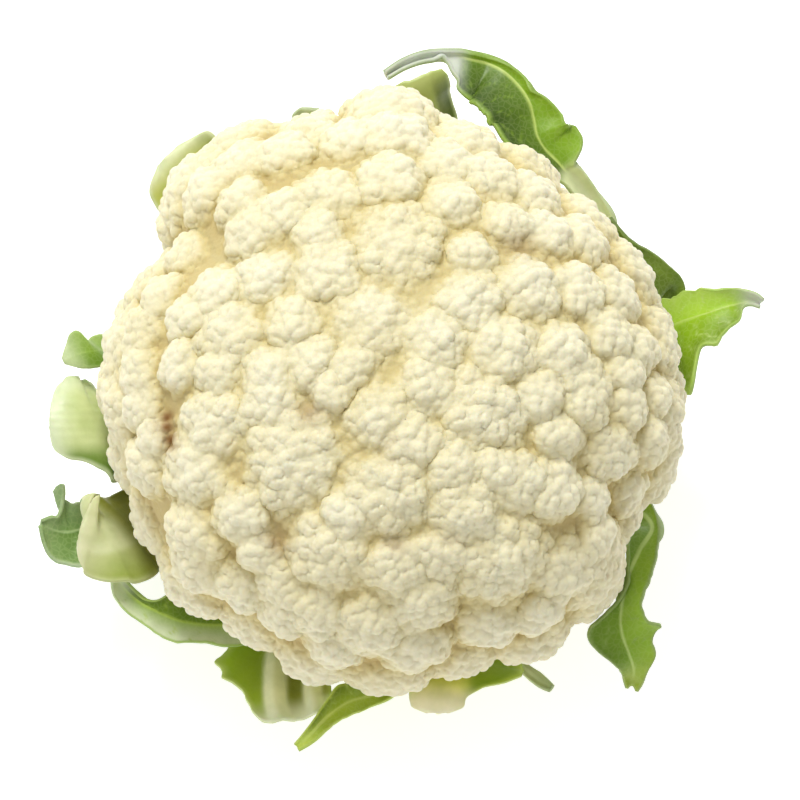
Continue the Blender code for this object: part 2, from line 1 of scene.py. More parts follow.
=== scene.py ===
"""The looks of a trimmed head of cauliflower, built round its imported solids.

Metres, +Z up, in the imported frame: the origin is the middle of the stem's cut face, and -Y is
the side that the photograph shows at its lower edge.

The curd is one union of balls, the florets and the lumps on them, with granules raised on its
surface. Each leaf is a waved sheet along its rib, thickened away from the curd. The driving
sizes and places repeat those of the solids.
"""

import math

import bmesh
import bpy
import numpy as np
from mathutils import Matrix
from mathutils.kdtree import KDTree

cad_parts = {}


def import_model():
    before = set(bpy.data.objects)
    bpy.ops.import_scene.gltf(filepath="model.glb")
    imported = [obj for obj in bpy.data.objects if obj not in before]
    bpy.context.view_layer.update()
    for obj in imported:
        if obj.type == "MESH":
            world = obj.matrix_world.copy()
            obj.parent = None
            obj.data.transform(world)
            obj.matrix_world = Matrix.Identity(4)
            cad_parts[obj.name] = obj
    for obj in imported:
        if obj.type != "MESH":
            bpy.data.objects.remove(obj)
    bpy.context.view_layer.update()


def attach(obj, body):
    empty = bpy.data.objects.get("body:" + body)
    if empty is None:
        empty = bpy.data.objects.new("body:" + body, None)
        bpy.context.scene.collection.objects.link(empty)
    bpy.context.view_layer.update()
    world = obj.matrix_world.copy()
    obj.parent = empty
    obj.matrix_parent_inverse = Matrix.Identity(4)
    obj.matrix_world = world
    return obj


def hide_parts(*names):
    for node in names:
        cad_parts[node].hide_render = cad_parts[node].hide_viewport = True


# Driving sizes
CURD_WIDTH = 0.170
WIDEST_LEVEL = 0.064
CURD_RISE = 0.064
CURD_DROP = 0.036
STEM_RADIUS = 0.022
MIDDLE = np.array([0.0, 0.0, WIDEST_LEVEL])

# How the photograph is read: its camera, the pixels that span the curd, the picture's side, and
# how far and how finely a line of sight is searched for the curd
VIEW_ELEVATION = math.radians(76)
VIEW_DISTANCE = 0.90
SENSOR_WIDTH_MM = 36
CURD_WIDTH_PX = 585
CURD_CENTRE_PX = (390, 392)
PIXEL = CURD_WIDTH / CURD_WIDTH_PX
PICTURE_PX = 800
SEARCH_REACH = 0.08
SEARCH_STEPS = 900

# The curd's outline: its radius in pixels, at even steps from +X round by +Y, and how much
# further out the smooth form goes, as the edge that is seen runs between lumps
OUTLINE_PX = [290, 285, 281, 270, 276, 279, 305, 287, 306, 304, 264, 282,
              287, 281, 284, 294, 284, 296, 301, 290, 302, 300, 276, 292]
OUTLINE_GROWTH = 0.0015

# The power of the curd's smooth form, where 2 would be an ellipsoid and more is fuller, and the
# step that its slope is measured over
ROUNDNESS = 2.2
SLOPE_STEP = 0.0005

# Each main floret as the photograph shows it: pixels across, pixels down, radius in pixels
FLORETS_PX = [
    (400, 120, 34), (342, 128, 32), (285, 138, 28), (232, 150, 30), (190, 190, 26), (448, 150, 32),
    (498, 165, 34), (545, 185, 28), (330, 182, 32), (390, 168, 30), (280, 205, 22), (240, 228, 26),
    (235, 190, 20), (455, 195, 26), (512, 215, 22), (555, 222, 26), (592, 228, 24),
    (176, 245, 28), (150, 290, 18), (210, 284, 24), (262, 270, 30), (325, 262, 32), (315, 225, 20),
    (408, 235, 50), (475, 250, 18), (475, 295, 32), (535, 282, 32), (590, 285, 26), (630, 290, 24),
    (130, 325, 26), (178, 312, 20), (225, 330, 34), (290, 320, 26), (370, 320, 42), (435, 335, 28),
    (508, 345, 34), (570, 350, 28), (620, 330, 26), (652, 345, 20), (635, 372, 18),
    (125, 375, 24), (170, 365, 18), (212, 372, 18), (262, 368, 20), (308, 360, 22), (350, 365, 18),
    (265, 398, 28), (380, 415, 32), (330, 392, 14), (430, 385, 26), (490, 405, 46), (545, 400, 22),
    (595, 392, 30), (640, 402, 20), (668, 395, 18), (130, 410, 22), (205, 420, 34), (140, 440, 16),
    (665, 445, 22), (565, 440, 22), (620, 460, 30), (132, 470, 26), (185, 475, 36), (295, 465, 56),
    (415, 440, 24), (457, 470, 22), (500, 472, 16), (525, 488, 26), (567, 488, 26), (605, 500, 20),
    (640, 500, 22), (390, 495, 42), (465, 515, 36), (235, 525, 24), (180, 540, 30), (610, 540, 20),
    (345, 520, 18), (255, 560, 18), (185, 580, 28), (235, 600, 26), (272, 592, 24), (330, 562, 42),
    (400, 575, 30), (445, 562, 24), (505, 570, 46), (575, 580, 34), (310, 622, 30), (430, 612, 32),
    (365, 640, 38), (275, 625, 22), (550, 625, 24), (490, 640, 30), (425, 662, 30), (330, 662, 26),
]

# Florets round the sides and the back, which the photograph hides: height over the widest
# level, how many go round, their radius, how close they come to others as a share of the radii
SIDE_RINGS = [(0.032, 20, 0.0105), (0.017, 22, 0.0115), (-0.002, 24, 0.0115),
              (-0.017, 22, 0.0105), (-0.029, 18, 0.0085)]
CLOSEST = 0.72

# Each floret's ball as a multiple of its radius, and the plain inside as a share of the smooth
# form, at the top and at the bottom, and how soon below the widest level it reaches the latter
BALL_TO_FLORET = 1.38
CORE_SHARE = 0.93
CORE_UNDER = 0.80
UNDER_FADE = 2.0

# Lumps on a floret: their radius, the largest share of the floret's ball that it may be, how far
# they stand out of the ball, how far round it they go, how many times they would cover it, the
# fewest there are, how much they vary, and the turn from each to the next
LUMP_RADIUS = 0.0040
LUMP_SHARE = 0.55
LUMP_STAND = 0.0010
LUMP_SPREAD = math.radians(84)
LUMP_COVER = 1.1
LUMPS_AT_LEAST = 5
LUMP_VARIATION = 0.18
GOLDEN_ANGLE = math.pi * (3 - math.sqrt(5))

# Knobs and granules, two finer levels of lumps: how far apart they stand, the radius of one, how
# deep it sits, how far round its carrier they go, and how deep in a neighbour one is left out. A
# carrier's radius over the spacing, times CAP_COVER, squared, gives their number.
KNOBS = dict(spacing=0.0034, radius=0.0023, sunk=0.0013, spread=math.radians(88), hidden=0.0008)
GRANULES = dict(spacing=0.0017, radius=0.00105, sunk=0.00055, spread=math.radians(100), hidden=0.0005)
CAP_COVER = 1.905

# A floret is smooth round its top and granular on its flanks: the angles between, and the share
# of a granule's height that the top keeps
SMOOTH_TOP = math.radians(25)
ROUGH_FLANK = math.radians(60)
TOP_GRAIN = 0.45

# The branches under the florets: how many, the distance from the axis, height and radius at
# either end, and the balls along each
BRANCHES = 10
BRANCH_INNER = (0.013, 0.034, 0.0085)
BRANCH_OUTER = (0.058, 0.050, 0.0060)
BRANCH_BALLS = 20

# Its pieces are a crown and sectors round it.
CURD_VOXEL = 0.00060
CROWN_RADIUS = 0.046
CURD_SECTORS = 5

# How many studs, and how many directions, are worked on at once, to save memory
STUD_BATCH = 4000
WAY_BATCH = 2000

# The degrees between the directions in which the curd's reach is listed
TABLE_STEP = 2

LEAF_LEVELS = (0.0085, 0.0170, 0.0255)
BLADE_THICKNESS = 0.0011
LEAF_CLEARANCE = 0.0022
LEAF_GRID = 0.0007
FEWEST_COLUMNS = 9

# The hidden start of a rib: its gap to the stem, its half width, and where it turns upward as
# shares of the way out and of the rise to the leaf's first seen row
RIB_GAP = 0.0009
RIB_START = 0.0075
TURN_OUT = 0.62
TURN_RISE = 0.28

# The end of a rib: the share of the length where it thins, and how much of it goes
TAPER_START = 0.86
TAPER = 0.75

# The waves of a leaf's edge, the share of its length that stays plain, the steps of its path from
# each given row to the next, and the steps that its length is first measured in
WAVES = 2.6
PLAIN_START = 0.3
PATH_STEPS = 12
LENGTH_STEPS = 200

# The tears of an edge: the spacing of coarse and fine ones, the share that each makes up, and the
# shares of the length between which they begin
TEAR_SPACINGS = (0.0042, 0.0015)
TEAR_SHARES = (0.65, 0.35)
TEAR_BEGINS = (0.25, 0.45)

# How many times a sheet's shift off the curd and its normals are evened out, and how far, how
# finely and over which shares of the length a torn end is frayed
SOFT_ROUNDS = 12
FRAY = 0.0004
FRAY_SPACING = 0.002
FRAY_ENDS = (0.9, 1.0)

# Each leaf: the level on the stem and the azimuth in degrees that it starts at, its material, its
# rib's thickness and half width at the base and at the tip, how far its edges stand above its
# middle, the height of its waves, and ridges by place across, half width and height, all in mm.
# The rows are, from its base to its tip: pixel across, pixel down, height, width to its left,
# width to its right, lean (all but the pixels in mm and degrees)
LEAVES = {
    "leaf_top_rib": dict(
        level=2, base=80, slot="rib", rib=(6.5, 5.0), flesh=(9, 10), cup=-1.5, wave=0.3,
        rows=[(432, 124, 40, 9, 8, 0), (426, 100, 50, 9.5, 8.5, 0), (421, 83, 55, 9.5, 8.5, 0),
              (419, 77, 56, 8, 7.5, 0)]),
    "leaf_top_blade": dict(
        level=1, base=45, slot="green", rib=(5.0, 1.2), flesh=(4.5, 1.0), cup=2.0, wave=0.6,
        rows=[(603, 222, 38, 3.5, 2.5, 0), (587, 197, 46, 3.5, 3, 0), (571, 176, 54, 3.5, 3, 0),
              (563, 168, 57, 3.8, 3.2, 0), (559, 163, 58, 4.2, 9, -4), (552, 156, 59, 5, 11, -8),
              (544, 148, 60, 7, 9.8, -10), (537, 135, 61, 10.5, 9.2, -10), (534, 119, 61, 14, 7.8, -10),
              (530, 104, 62, 14.5, 4.2, -10),
              (526, 96, 62, 14.5, 1.4, -10), (518, 85, 62, 14.5, 2.2, -8), (503, 71, 62, 14.5, 1.6, -6),
              (487, 63, 61, 13.5, 1, 0), (470, 59, 62, 12, 1, 0), (460, 57, 62.3, 9, 1, 0),
              (453, 57, 62.6, 6, 1, 0), (446, 57, 63, 1, 1, 0), (428, 58, 65, 0.9, 0.9, 0),
              (404, 66, 67, 0.8, 0.8, 0), (386, 77, 67, 0.5, 0.5, 0)]),
    "leaf_right_strip": dict(
        level=0, base=27, slot="green", rib=(4.5, 1.6), flesh=(4.0, 1.4), cup=1.0, wave=0.5,
        rows=[(664, 300, 34, 4, 5, 0), (674, 287, 42, 5, 3, 0), (646, 262, 48, 6, 3, 0),
              (624, 243, 52, 2, 1, 0), (614, 230, 53, 0.8, 0.8, 0), (607, 219, 53, 0.6, 0.6, 0)]),
    "leaf_right": dict(
        level=2, base=8, slot="bright", rib=(5.0, 1.2), flesh=(4.5, 1.0), cup=1.5, wave=1.2,
        rows=[(652, 335, 42, 7, 8, 0), (672, 325, 50, 9, 20, 0), (687, 319, 55, 8.5, 19.5, 3),
              (697, 316, 57, 8, 10.5, 5), (710, 312, 59, 7, 9.5, 6), (722, 308, 60, 5.6, 6.8, 8),
              (733, 305, 60, 4.2, 5.2, 8), (741, 303, 59, 3, 1, 5), (751, 301, 58, 1.6, 0.6, 0),
              (760, 304, 57, 0.5, 0.5, 0)]),
    "leaf_lower_right": dict(
        level=1, base=330, slot="green", rib=(5.0, 1.3), flesh=(4.5, 1.1), cup=1.5, wave=1.0,
        rows=[(641, 512, 38, 4, 4, 0), (652, 528, 46, 1.5, 5, 0), (640, 550, 52, 4.6, 7, 0),
              (626, 582, 56, 6, 4.7, 0), (622, 602, 57, 5.8, 5.2, 0), (621, 625, 57, 7.8, 10.7, 0),
              (624, 641, 55, 11.5, 8.4, 0), (629, 653, 53, 7.8, 6, 0), (633, 664, 50, 7, 4.6, 0),
              (634, 672, 47, 3.4, 3.6, 0), (633, 680, 44, 2.2, 2.2, 0), (632, 686, 42, 1, 1, 0)]),
    "leaf_sliver": dict(
        level=0, base=300, slot="pale", rib=(3.0, 1.4), flesh=(2.7, 1.2), cup=0.3, wave=0.2,
        rows=[(506, 645, 26, 2.5, 2.5, 0), (518, 661, 31, 1.2, 1.2, 0), (527, 670, 35, 1.6, 1.6, 0),
              (537, 678, 38, 1.8, 1.6, 0), (545, 684, 40, 1.2, 1.2, 0), (551, 688, 41, 0.5, 0.5, 0)]),
    "leaf_bottom_stub": dict(
        level=2, base=285, slot="rib", rib=(7.0, 6.0), flesh=(8, 9), cup=-1.0, wave=0.3,
        rows=[(442, 650, 34, 23, 8, 0), (441, 660, 38, 24, 8, 0), (440, 670, 42, 20, 8.2, 0),
              (439, 680, 45, 12.5, 8.4, 0), (438, 691, 47, 8.6, 8.4, 0), (438, 701, 48.5, 8, 8, 0),
              (438, 709, 49, 6.5, 6.5, 0), (438, 713, 49, 3.5, 3.5, 0)]),
    "leaf_pointed": dict(
        level=1, base=266, slot="bright", rib=(4.0, 1.2), flesh=(3.6, 1.0), cup=0.8, wave=0.5,
        rows=[(396, 672, 32, 4, 4, 0), (384, 690, 40, 3, 3.5, 0), (364, 697, 46, 3.2, 4.5, 0),
              (345, 704, 51, 3.8, 5, 0), (333, 712, 53, 3, 3.4, 0), (320, 724, 55, 2.4, 2, 0),
              (308, 737, 55, 1.8, 1.5, 0), (297, 747, 54, 0.6, 0.6, 0)]),
    "leaf_rib_pair": dict(
        level=0, base=250, slot="rib", rib=(5.0, 3.0), flesh=(12, 14), cup=0.8, wave=0.5,
        ridges=[(-6.0, 2.6, 2.2), (5.0, 3.0, 2.6)],
        rows=[(298, 640, 24, 10, 14, 0), (293, 665, 31, 11, 21, 0), (292, 685, 36, 11.5, 17.5, 0),
              (293, 702, 40, 10.5, 12, 0), (296, 714, 42, 9, 9.5, 0), (297, 719, 42.5, 7, 7, 0)]),
    "leaf_band": dict(
        level=2, base=232, slot="green", rib=(4.5, 1.4), flesh=(4.0, 1.2), cup=1.0, wave=0.6,
        rows=[(258, 612, 36, 6, 6, 0), (230, 624, 40, 7, 7, 0), (198, 624, 43, 5, 7, 0),
              (176, 620, 45, 6, 8, 0), (164, 615, 46, 5.6, 8, 0), (153, 610, 47, 5, 3, 0),
              (143, 605, 47.5, 4.6, 1.5, 0), (130, 595, 48, 4, 1.5, 0), (121, 585, 47, 2.4, 1.2, 0),
              (117, 579, 46, 0.6, 0.6, 0)]),
    "leaf_left_rib": dict(
        level=1, base=214, slot="cream", rib=(6.5, 5.0), flesh=(13, 13), cup=-1.0, wave=0.3,
        rows=[(150, 520, 38, 12, 12, 0), (130, 528, 47, 15, 13, 0), (112, 535, 54, 15.5, 14, 0),
              (98, 537, 58, 12.5, 13, 0), (90, 535, 59.5, 10.5, 11.5, 0), (84, 534, 60, 8, 9, 0),
              (79, 533, 60, 4, 4.5, 0)]),
    "leaf_blue": dict(
        level=0, base=196, slot="blue", rib=(4.5, 1.2), flesh=(4.0, 1.0), cup=1.5, wave=1.0,
        rows=[(112, 520, 24, 7, 7, 0), (90, 526, 31, 10, 8, 0), (76, 530, 35, 12, 9, 0),
              (69, 532, 37, 11.5, 14, 0), (63, 532, 38, 10.5, 13, 0), (57, 531, 39, 9, 6, 0),
              (47, 527, 41, 4, 3, 0), (41, 524, 42, 0.6, 0.6, 0)]),
    "leaf_left_stub": dict(
        level=2, base=180, slot="rib", rib=(6.5, 5.0), flesh=(12, 14), cup=-2.5, wave=0.3,
        rows=[(128, 421, 38, 12, 11, 0), (112, 420, 46, 17, 12.5, 0), (102, 419, 50.5, 19, 13.5, 0),
              (93, 419, 53.5, 14.5, 13.5, 0), (82, 419, 55.5, 12.5, 13.8, 0), (71, 419, 56.5, 12, 13.6, 0),
              (62, 419, 57, 10.8, 12.6, 0), (55, 419, 57, 9, 11, 0), (51, 419, 57, 7, 8.5, 0),
              (49, 419, 57, 4.5, 5.5, 0)]),
    "leaf_left_green": dict(
        level=1, base=160, slot="green", rib=(4.5, 1.6), flesh=(4.0, 1.4), cup=-0.4, wave=0.4,
        rows=[(130, 354, 36, 6, 6, 0), (106, 350, 47, 5, 6, 0), (93, 351, 54, 4.9, 5.2, 0),
              (82, 353, 56, 4.6, 7.5, 0), (71, 357, 57, 3.4, 4.0, 0), (63, 361, 57, 1, 1, 0)]),
    "leaf_upper_left": dict(
        level=2, base=130, slot="rib", rib=(5.5, 4.0), flesh=(12, 14), cup=-1.5, wave=0.3,
        rows=[(209, 211, 40, 9, 9, 0), (193, 192, 49, 11, 12, 0), (184, 181, 54, 11.5, 15, 0),
              (176, 171, 57, 10, 16.5, 0), (169, 163, 59, 6.4, 13, 0), (164, 158, 59.5, 2.5, 6.5, 0)]),
    "leaf_tiny": dict(
        level=0, base=105, slot="green", rib=(3.0, 1.4), flesh=(2.7, 1.2), cup=0.5, wave=0.3,
        rows=[(312, 142, 32, 4, 4, 0), (309, 124, 42, 4.2, 4.2, 0), (308, 113, 47, 4, 4, 0),
              (308, 109, 48, 2.4, 3, 0)]),
}

# Each leaf's colours on a scale of 0 to 255: its rib, the blade on either side of it (by the rib,
# at the margin), the rim, the tip, the veins and the under side; the half width of the rib's
# colour in mm at the base and at the tip; how ragged its edge is; and, where its start has a colour
# apart, that colour and the shares of its length between which the colour ends. On some leaves a
# side or the start is darkened as painted shade, as said at those leaves. Some leaves also say
# between which shares the tip's colour comes in.
LEAF_LOOKS = {
    "leaf_top_rib": dict(
        # The right side darkens towards its margin as painted shade, for the dark fold at the rib's cut end
        rib=(172, 182, 98), left=((180, 188, 106), (196, 204, 140)), right=((140, 148, 70), (84, 102, 40)),
        rim=(196, 204, 146), tip=(188, 196, 124), vein=(196, 204, 140), under=(190, 200, 140),
        line=(3.0, 3.0), ragged=0.04),
    "leaf_top_blade": dict(
        # The left side, by the curd, darkens from the rib to its margin: the blade's own dark green with
        # painted shade under the leaf
        rib=(190, 208, 110), left=((96, 126, 20), (52, 74, 18)), right=((122, 158, 26), (134, 170, 34)),
        rim=(146, 176, 74), tip=(214, 218, 208), vein=(126, 156, 44), under=(128, 154, 70),
        line=(1.0, 0.3), ragged=0.08, start=(230, 236, 184), start_ends=(0.545, 0.575),
        tip_ends=(0.83, 0.87)),
    "leaf_right_strip": dict(
        rib=(110, 132, 40), left=((100, 120, 28), (90, 110, 26)), right=((106, 128, 32), (118, 140, 50)),
        rim=(112, 134, 46), tip=(96, 116, 40), vein=(128, 146, 70), under=(110, 128, 60),
        line=(1.2, 0.4), ragged=0.10),
    "leaf_right": dict(
        # The right side, the lower one, darkens towards its margin as painted shade below the lit middle
        rib=(190, 214, 104), left=((166, 204, 48), (184, 214, 96)), right=((152, 190, 30), (120, 148, 26)),
        rim=(172, 200, 92), tip=(214, 216, 204), vein=(196, 216, 130), under=(168, 192, 110),
        line=(1.2, 0.25), ragged=0.20),
    "leaf_lower_right": dict(
        rib=(186, 208, 120), left=((136, 170, 40), (146, 180, 52)), right=((118, 152, 28), (104, 136, 24)),
        rim=(146, 168, 96), tip=(168, 186, 72), vein=(144, 170, 86), under=(136, 158, 84),
        line=(1.6, 0.4), ragged=0.12),
    "leaf_sliver": dict(
        rib=(206, 216, 172), left=((190, 200, 148), (182, 192, 138)),
        right=((188, 198, 146), (180, 190, 136)), rim=(200, 208, 160), tip=(170, 184, 130),
        vein=(208, 218, 176), under=(186, 196, 146), line=(1.0, 0.4), ragged=0.08),
    "leaf_bottom_stub": dict(
        rib=(238, 238, 112), left=((170, 190, 36), (134, 166, 22)), right=((228, 230, 96), (228, 230, 116)),
        rim=(180, 200, 66), tip=(255, 248, 212), vein=(190, 204, 90), under=(216, 218, 160),
        line=(7.5, 8.5), ragged=0.05, tip_ends=(0.84, 0.96)),
    "leaf_pointed": dict(
        rib=(206, 220, 110), left=((176, 198, 58), (166, 190, 54)), right=((164, 188, 46), (120, 142, 32)),
        rim=(190, 208, 84), tip=(206, 224, 104), vein=(200, 218, 106), under=(186, 204, 100),
        line=(1.5, 0.4), ragged=0.10),
    "leaf_rib_pair": dict(
        # The olive rib colour along the groove between the two ridges, and the olive beside it, are painted
        # shade
        rib=(142, 148, 50), left=((148, 154, 56), (184, 192, 96)), right=((140, 152, 36), (172, 200, 50)),
        rim=(196, 212, 110), tip=(232, 234, 196), vein=(246, 246, 196), under=(200, 208, 150),
        line=(3.0, 3.0), ragged=0.16),
    "leaf_band": dict(
        rib=(172, 196, 84), left=((150, 178, 84), (226, 232, 204)), right=((112, 142, 28), (92, 118, 22)),
        rim=(172, 196, 100), tip=(222, 228, 200), vein=(168, 192, 74), under=(160, 182, 110),
        line=(1.8, 0.4), ragged=0.12),
    "leaf_left_rib": dict(
        # The dark olive start, over the part nearer the stem, is painted shade inside the concave channel
        rib=(216, 220, 174), left=((208, 212, 160), (150, 166, 62)), right=((208, 210, 166), (186, 192, 118)),
        rim=(200, 206, 150), tip=(212, 212, 170), vein=(210, 214, 168), under=(206, 210, 160),
        line=(5.0, 5.0), ragged=0.05, start=(122, 122, 32), start_ends=(0.76, 0.90)),
    "leaf_blue": dict(
        rib=(170, 190, 140), left=((104, 136, 62), (112, 142, 74)), right=((112, 142, 78), (156, 178, 132)),
        rim=(190, 204, 170), tip=(150, 172, 120), vein=(158, 182, 128), under=(140, 164, 110),
        line=(1.2, 0.35), ragged=0.16),
    "leaf_left_stub": dict(
        rib=(206, 216, 156), left=((190, 206, 130), (96, 130, 26)), right=((206, 216, 156), (216, 224, 184)),
        rim=(210, 220, 178), tip=(220, 228, 192), vein=(206, 216, 160), under=(204, 214, 160),
        line=(8.5, 9.0), ragged=0.05, start=(146, 166, 80), start_ends=(0.66, 0.78)),
    "leaf_left_green": dict(
        rib=(140, 170, 70), left=((122, 156, 48), (94, 126, 34)), right=((128, 160, 54), (142, 170, 76)),
        rim=(162, 186, 110), tip=(190, 204, 154), vein=(148, 176, 82), under=(136, 162, 80),
        line=(0.8, 0.3), ragged=0.08),
    "leaf_upper_left": dict(
        rib=(196, 202, 100), left=((200, 206, 114), (192, 198, 106)), right=((184, 190, 80), (116, 130, 26)),
        rim=(214, 220, 176), tip=(218, 222, 182), vein=(200, 206, 120), under=(206, 212, 150),
        line=(9.0, 9.0), ragged=0.04, start=(164, 170, 52), start_ends=(0.72, 0.86)),
    "leaf_tiny": dict(
        rib=(150, 166, 110), left=((190, 198, 160), (214, 218, 196)), right=((130, 148, 84), (108, 128, 62)),
        rim=(170, 184, 140), tip=(180, 190, 150), vein=(160, 174, 120), under=(160, 174, 120),
        line=(0.8, 0.4), ragged=0.12),
}

# The rib's colour narrows towards the tip by this power, and the tip's colour comes in between
# these shares of the length where a leaf doesn't say. How much of the leaf's colour the under side
# takes.
LINE_FADE = 2.2
TIP_ENDS = (0.90, 1.0)
UNDER_TAKES = 0.25

# Where colours meet on a leaf, as shares of its half width: its two sides, the rib's colour over
# its own half width, the ridges' over their height, and the rim's
SIDES_MEET = (-0.12, 0.12)
LINE_MEETS = (0.7, 1.3)
RIDGE_MEETS = (0.08, 0.45)
RIM_MEETS = (0.86, 1.0)

# The veins of a blade: how much of their colour shows, how far apart they leave the rib, their
# slope to it, their half width, how deep they lie in the upper face, where they begin, as
# multiples of the flesh's half width, and the height and two rates of each wobble in them
VEIN_SHOWS = 0.6
VEIN_SPACING = 0.0075
VEIN_ANGLE = math.radians(52)
VEIN_WIDTH = 0.00022
VEIN_DEPTH = 0.00016
VEIN_BEGINS = (0.9, 1.4)
VEIN_WOBBLES = ((0.0012, 700, 21), (0.0006, 1900, 60))

# Fine ridges run along the flesh: how far apart and how high
RIDGE_SPACING = 0.0024
RIDGE_HEIGHT = 0.00004

# Ribs at least this thick at their tips, in mm, are stubs that carry no side veins
STUB_TIP = 3.0

# Each leaf material's roughness, and the strength and fineness of its net of veins
LEAF_SKINS = {
    "rib": (0.40, 0.05, 500), "cream": (0.42, 0.04, 500), "green": (0.40, 0.14, 620),
    "bright": (0.42, 0.18, 560), "blue": (0.55, 0.22, 560), "pale": (0.50, 0.10, 560),
}

# The stem's wall: points round it and up it, its ends, its waist as heights and shares of the
# stem's radius, the height and azimuth of each leaf scar, a scar's height and half width, and the
# depth and number of its flutes
STEM_SIDES = 120
STEM_LEVELS = 60
STEM_ENDS = (0.0012, 0.038)
WAIST_HEIGHTS = (0, 0.006, 0.015, 0.024, 0.030, 0.038)
WAIST_SHARES = (1.0, 1.0, 0.93, 0.95, 0.90, 0.90)
SCARS = ((0.007, 20), (0.012, 150), (0.018, 260), (0.023, 60))
SCAR_HEIGHT = 0.0006
SCAR_WIDTH = 0.0009
FLUTE_DEPTH = 0.0002
FLUTES = 23

# The stem's cut face: its rings, how far in from the wall it starts, where it ends as a share of
# its radius, and how uneven it is
CUT_RINGS = 14
CUT_INSET = 0.0010
CUT_END = 0.02
CUT_RELIEF = 0.0001

# The light: the size and distance of each lamp, each lamp's name, azimuth and elevation in degrees
# and power, the strength of the sky, and the floor's half width and glow
LIGHT_SIZE = 0.5
LIGHT_DISTANCE = 1.2
LAMPS = (("key", 106, 52, 11), ("fill", 238, 28, 1.6))
SKY_STRENGTH = 0.60
FLOOR_REACH = 3.0
FLOOR_GLOW = 0.48

# Brown spots in the curd's creases: pixels across and down, radius in mm, strength. They show
# between two depths in mm under the smooth form.
SPOTS_PX = [(166, 412, 2.0, 1.0), (166, 423, 2.0, 1.0), (169, 435, 2.0, 1.0), (171, 447, 2.0, 0.9),
            (158, 426, 3.6, 0.35), (310, 410, 3.6, 0.5), (400, 445, 4.0, 0.4), (275, 540, 4.0, 0.5),
            (394, 550, 4.0, 0.5), (520, 240, 5.0, 0.4), (452, 545, 4.0, 0.3)]
SPOT_DEPTHS = (0.5, 3.0)


def linear(colour):
    """A colour on a scale of 0 to 255 as a shader takes it."""
    share = np.array(colour) / 255
    return np.where(share <= 0.04045, share / 12.92, ((share + 0.055) / 1.055) ** 2.4)


def outline_radius(azimuth):
    """The curd's radius at its widest level, in a direction seen from above."""
    step = 2 * math.pi / len(OUTLINE_PX)
    place = np.mod(azimuth, 2 * math.pi) / step
    low = np.floor(place).astype(int)
    share = 0.5 - 0.5 * np.cos(math.pi * (place - low))
    ring = np.array(OUTLINE_PX) * PIXEL + OUTLINE_GROWTH
    return ring[low % len(ring)] * (1 - share) + ring[(low + 1) % len(ring)] * share


def fullness(points):
    """Below 1 inside the curd's smooth outer form and above 1 outside it."""
    radius = outline_radius(np.arctan2(points[:, 1], points[:, 0]))
    level = points[:, 2] - WIDEST_LEVEL
    height = np.where(level > 0, CURD_RISE, CURD_DROP)
    across = np.hypot(points[:, 0], points[:, 1]) / radius
    return across ** ROUNDNESS + (np.abs(level) / height) ** ROUNDNESS


def surface_normal(point):
    """The way out of the smooth form at a point."""
    offsets = np.vstack([np.eye(3), -np.eye(3)]) * SLOPE_STEP
    values = fullness(point + offsets)
    slope = values[:3] - values[3:]
    return slope / np.linalg.norm(slope)


def camera_axes():
    """The photograph's way right, its way up, and the way back to its camera."""
    right = np.array([1.0, 0.0, 0.0])
    up = np.array([0.0, math.sin(VIEW_ELEVATION), math.cos(VIEW_ELEVATION)])
    back = np.array([0.0, -math.cos(VIEW_ELEVATION), math.sin(VIEW_ELEVATION)])
    return right, up, back


def sight_line(across_px, down_px):
    """The camera's place and the unit direction that a pixel looks along."""
    right, up, back = camera_axes()
    camera = MIDDLE + back * VIEW_DISTANCE
    target = (MIDDLE + right * (across_px - CURD_CENTRE_PX[0]) * PIXEL
              + up * (CURD_CENTRE_PX[1] - down_px) * PIXEL)
    way = target - camera
    return camera, way / np.linalg.norm(way)


def seen_at_height(across_px, down_px, height):
    """The point at a height that the photograph shows at a pixel."""
    camera, way = sight_line(across_px, down_px)
    return camera + way * (height - camera[2]) / way[2]


def seen_on_curd(across_px, down_px):
    """The point of the smooth form that the photograph shows at a pixel."""
    camera, way = sight_line(across_px, down_px)
    depths = np.linspace(VIEW_DISTANCE - SEARCH_REACH, VIEW_DISTANCE + SEARCH_REACH, SEARCH_STEPS)
    points = camera + depths[:, None] * way
    values = fullness(points)
    inside = np.nonzero(values < 1)[0]
    first = inside[0] if len(inside) else np.argmin(values)
    return points[first]


def ball_under(point, floret_radius):
    """The ball whose lumps just reach the smooth form at a point."""
    radius = floret_radius * BALL_TO_FLORET
    normal = surface_normal(point)
    return point - normal * (radius + LUMP_STAND), radius, normal


def main_florets():
    """Centre, radius and way out of each main floret."""
    places = [(seen_on_curd(across, down), radius * PIXEL) for across, down, radius in FLORETS_PX]
    for row, (level, count, radius) in enumerate(SIDE_RINGS):
        height = CURD_RISE if level > 0 else CURD_DROP
        share = (1 - (abs(level) / height) ** ROUNDNESS) ** (1 / ROUNDNESS)
        for index in range(count):
            azimuth = 2 * math.pi * (index + 0.5 * row) / count
            reach = float(outline_radius(np.array([azimuth]))[0]) * share
            point = np.array([reach * math.cos(azimuth), reach * math.sin(azimuth),
                              WIDEST_LEVEL + level])
            if all(np.linalg.norm(point - other) > CLOSEST * (radius + size)
                   for other, size in places):
                places.append((point, radius))
    return [ball_under(point, radius) for point, radius in places]


def spiral(way, spread, count, turn=0.0):
    """Directions at even spacing round a way, out to a spread."""
    side = np.cross(way, [0.0, 0.0, 1.0])
    if np.linalg.norm(side) < 0.1:
        side = np.array([1.0, 0.0, 0.0])
    side /= np.linalg.norm(side)
    other = np.cross(way, side)
    index = np.arange(count)
    height = 1 - (1 - math.cos(spread)) * (index + 0.5) / count
    out = np.sqrt(1 - height ** 2)
    angle = index * GOLDEN_ANGLE + turn
    return (way * height[:, None] + side * (np.cos(angle) * out)[:, None]
            + other * (np.sin(angle) * out)[:, None])


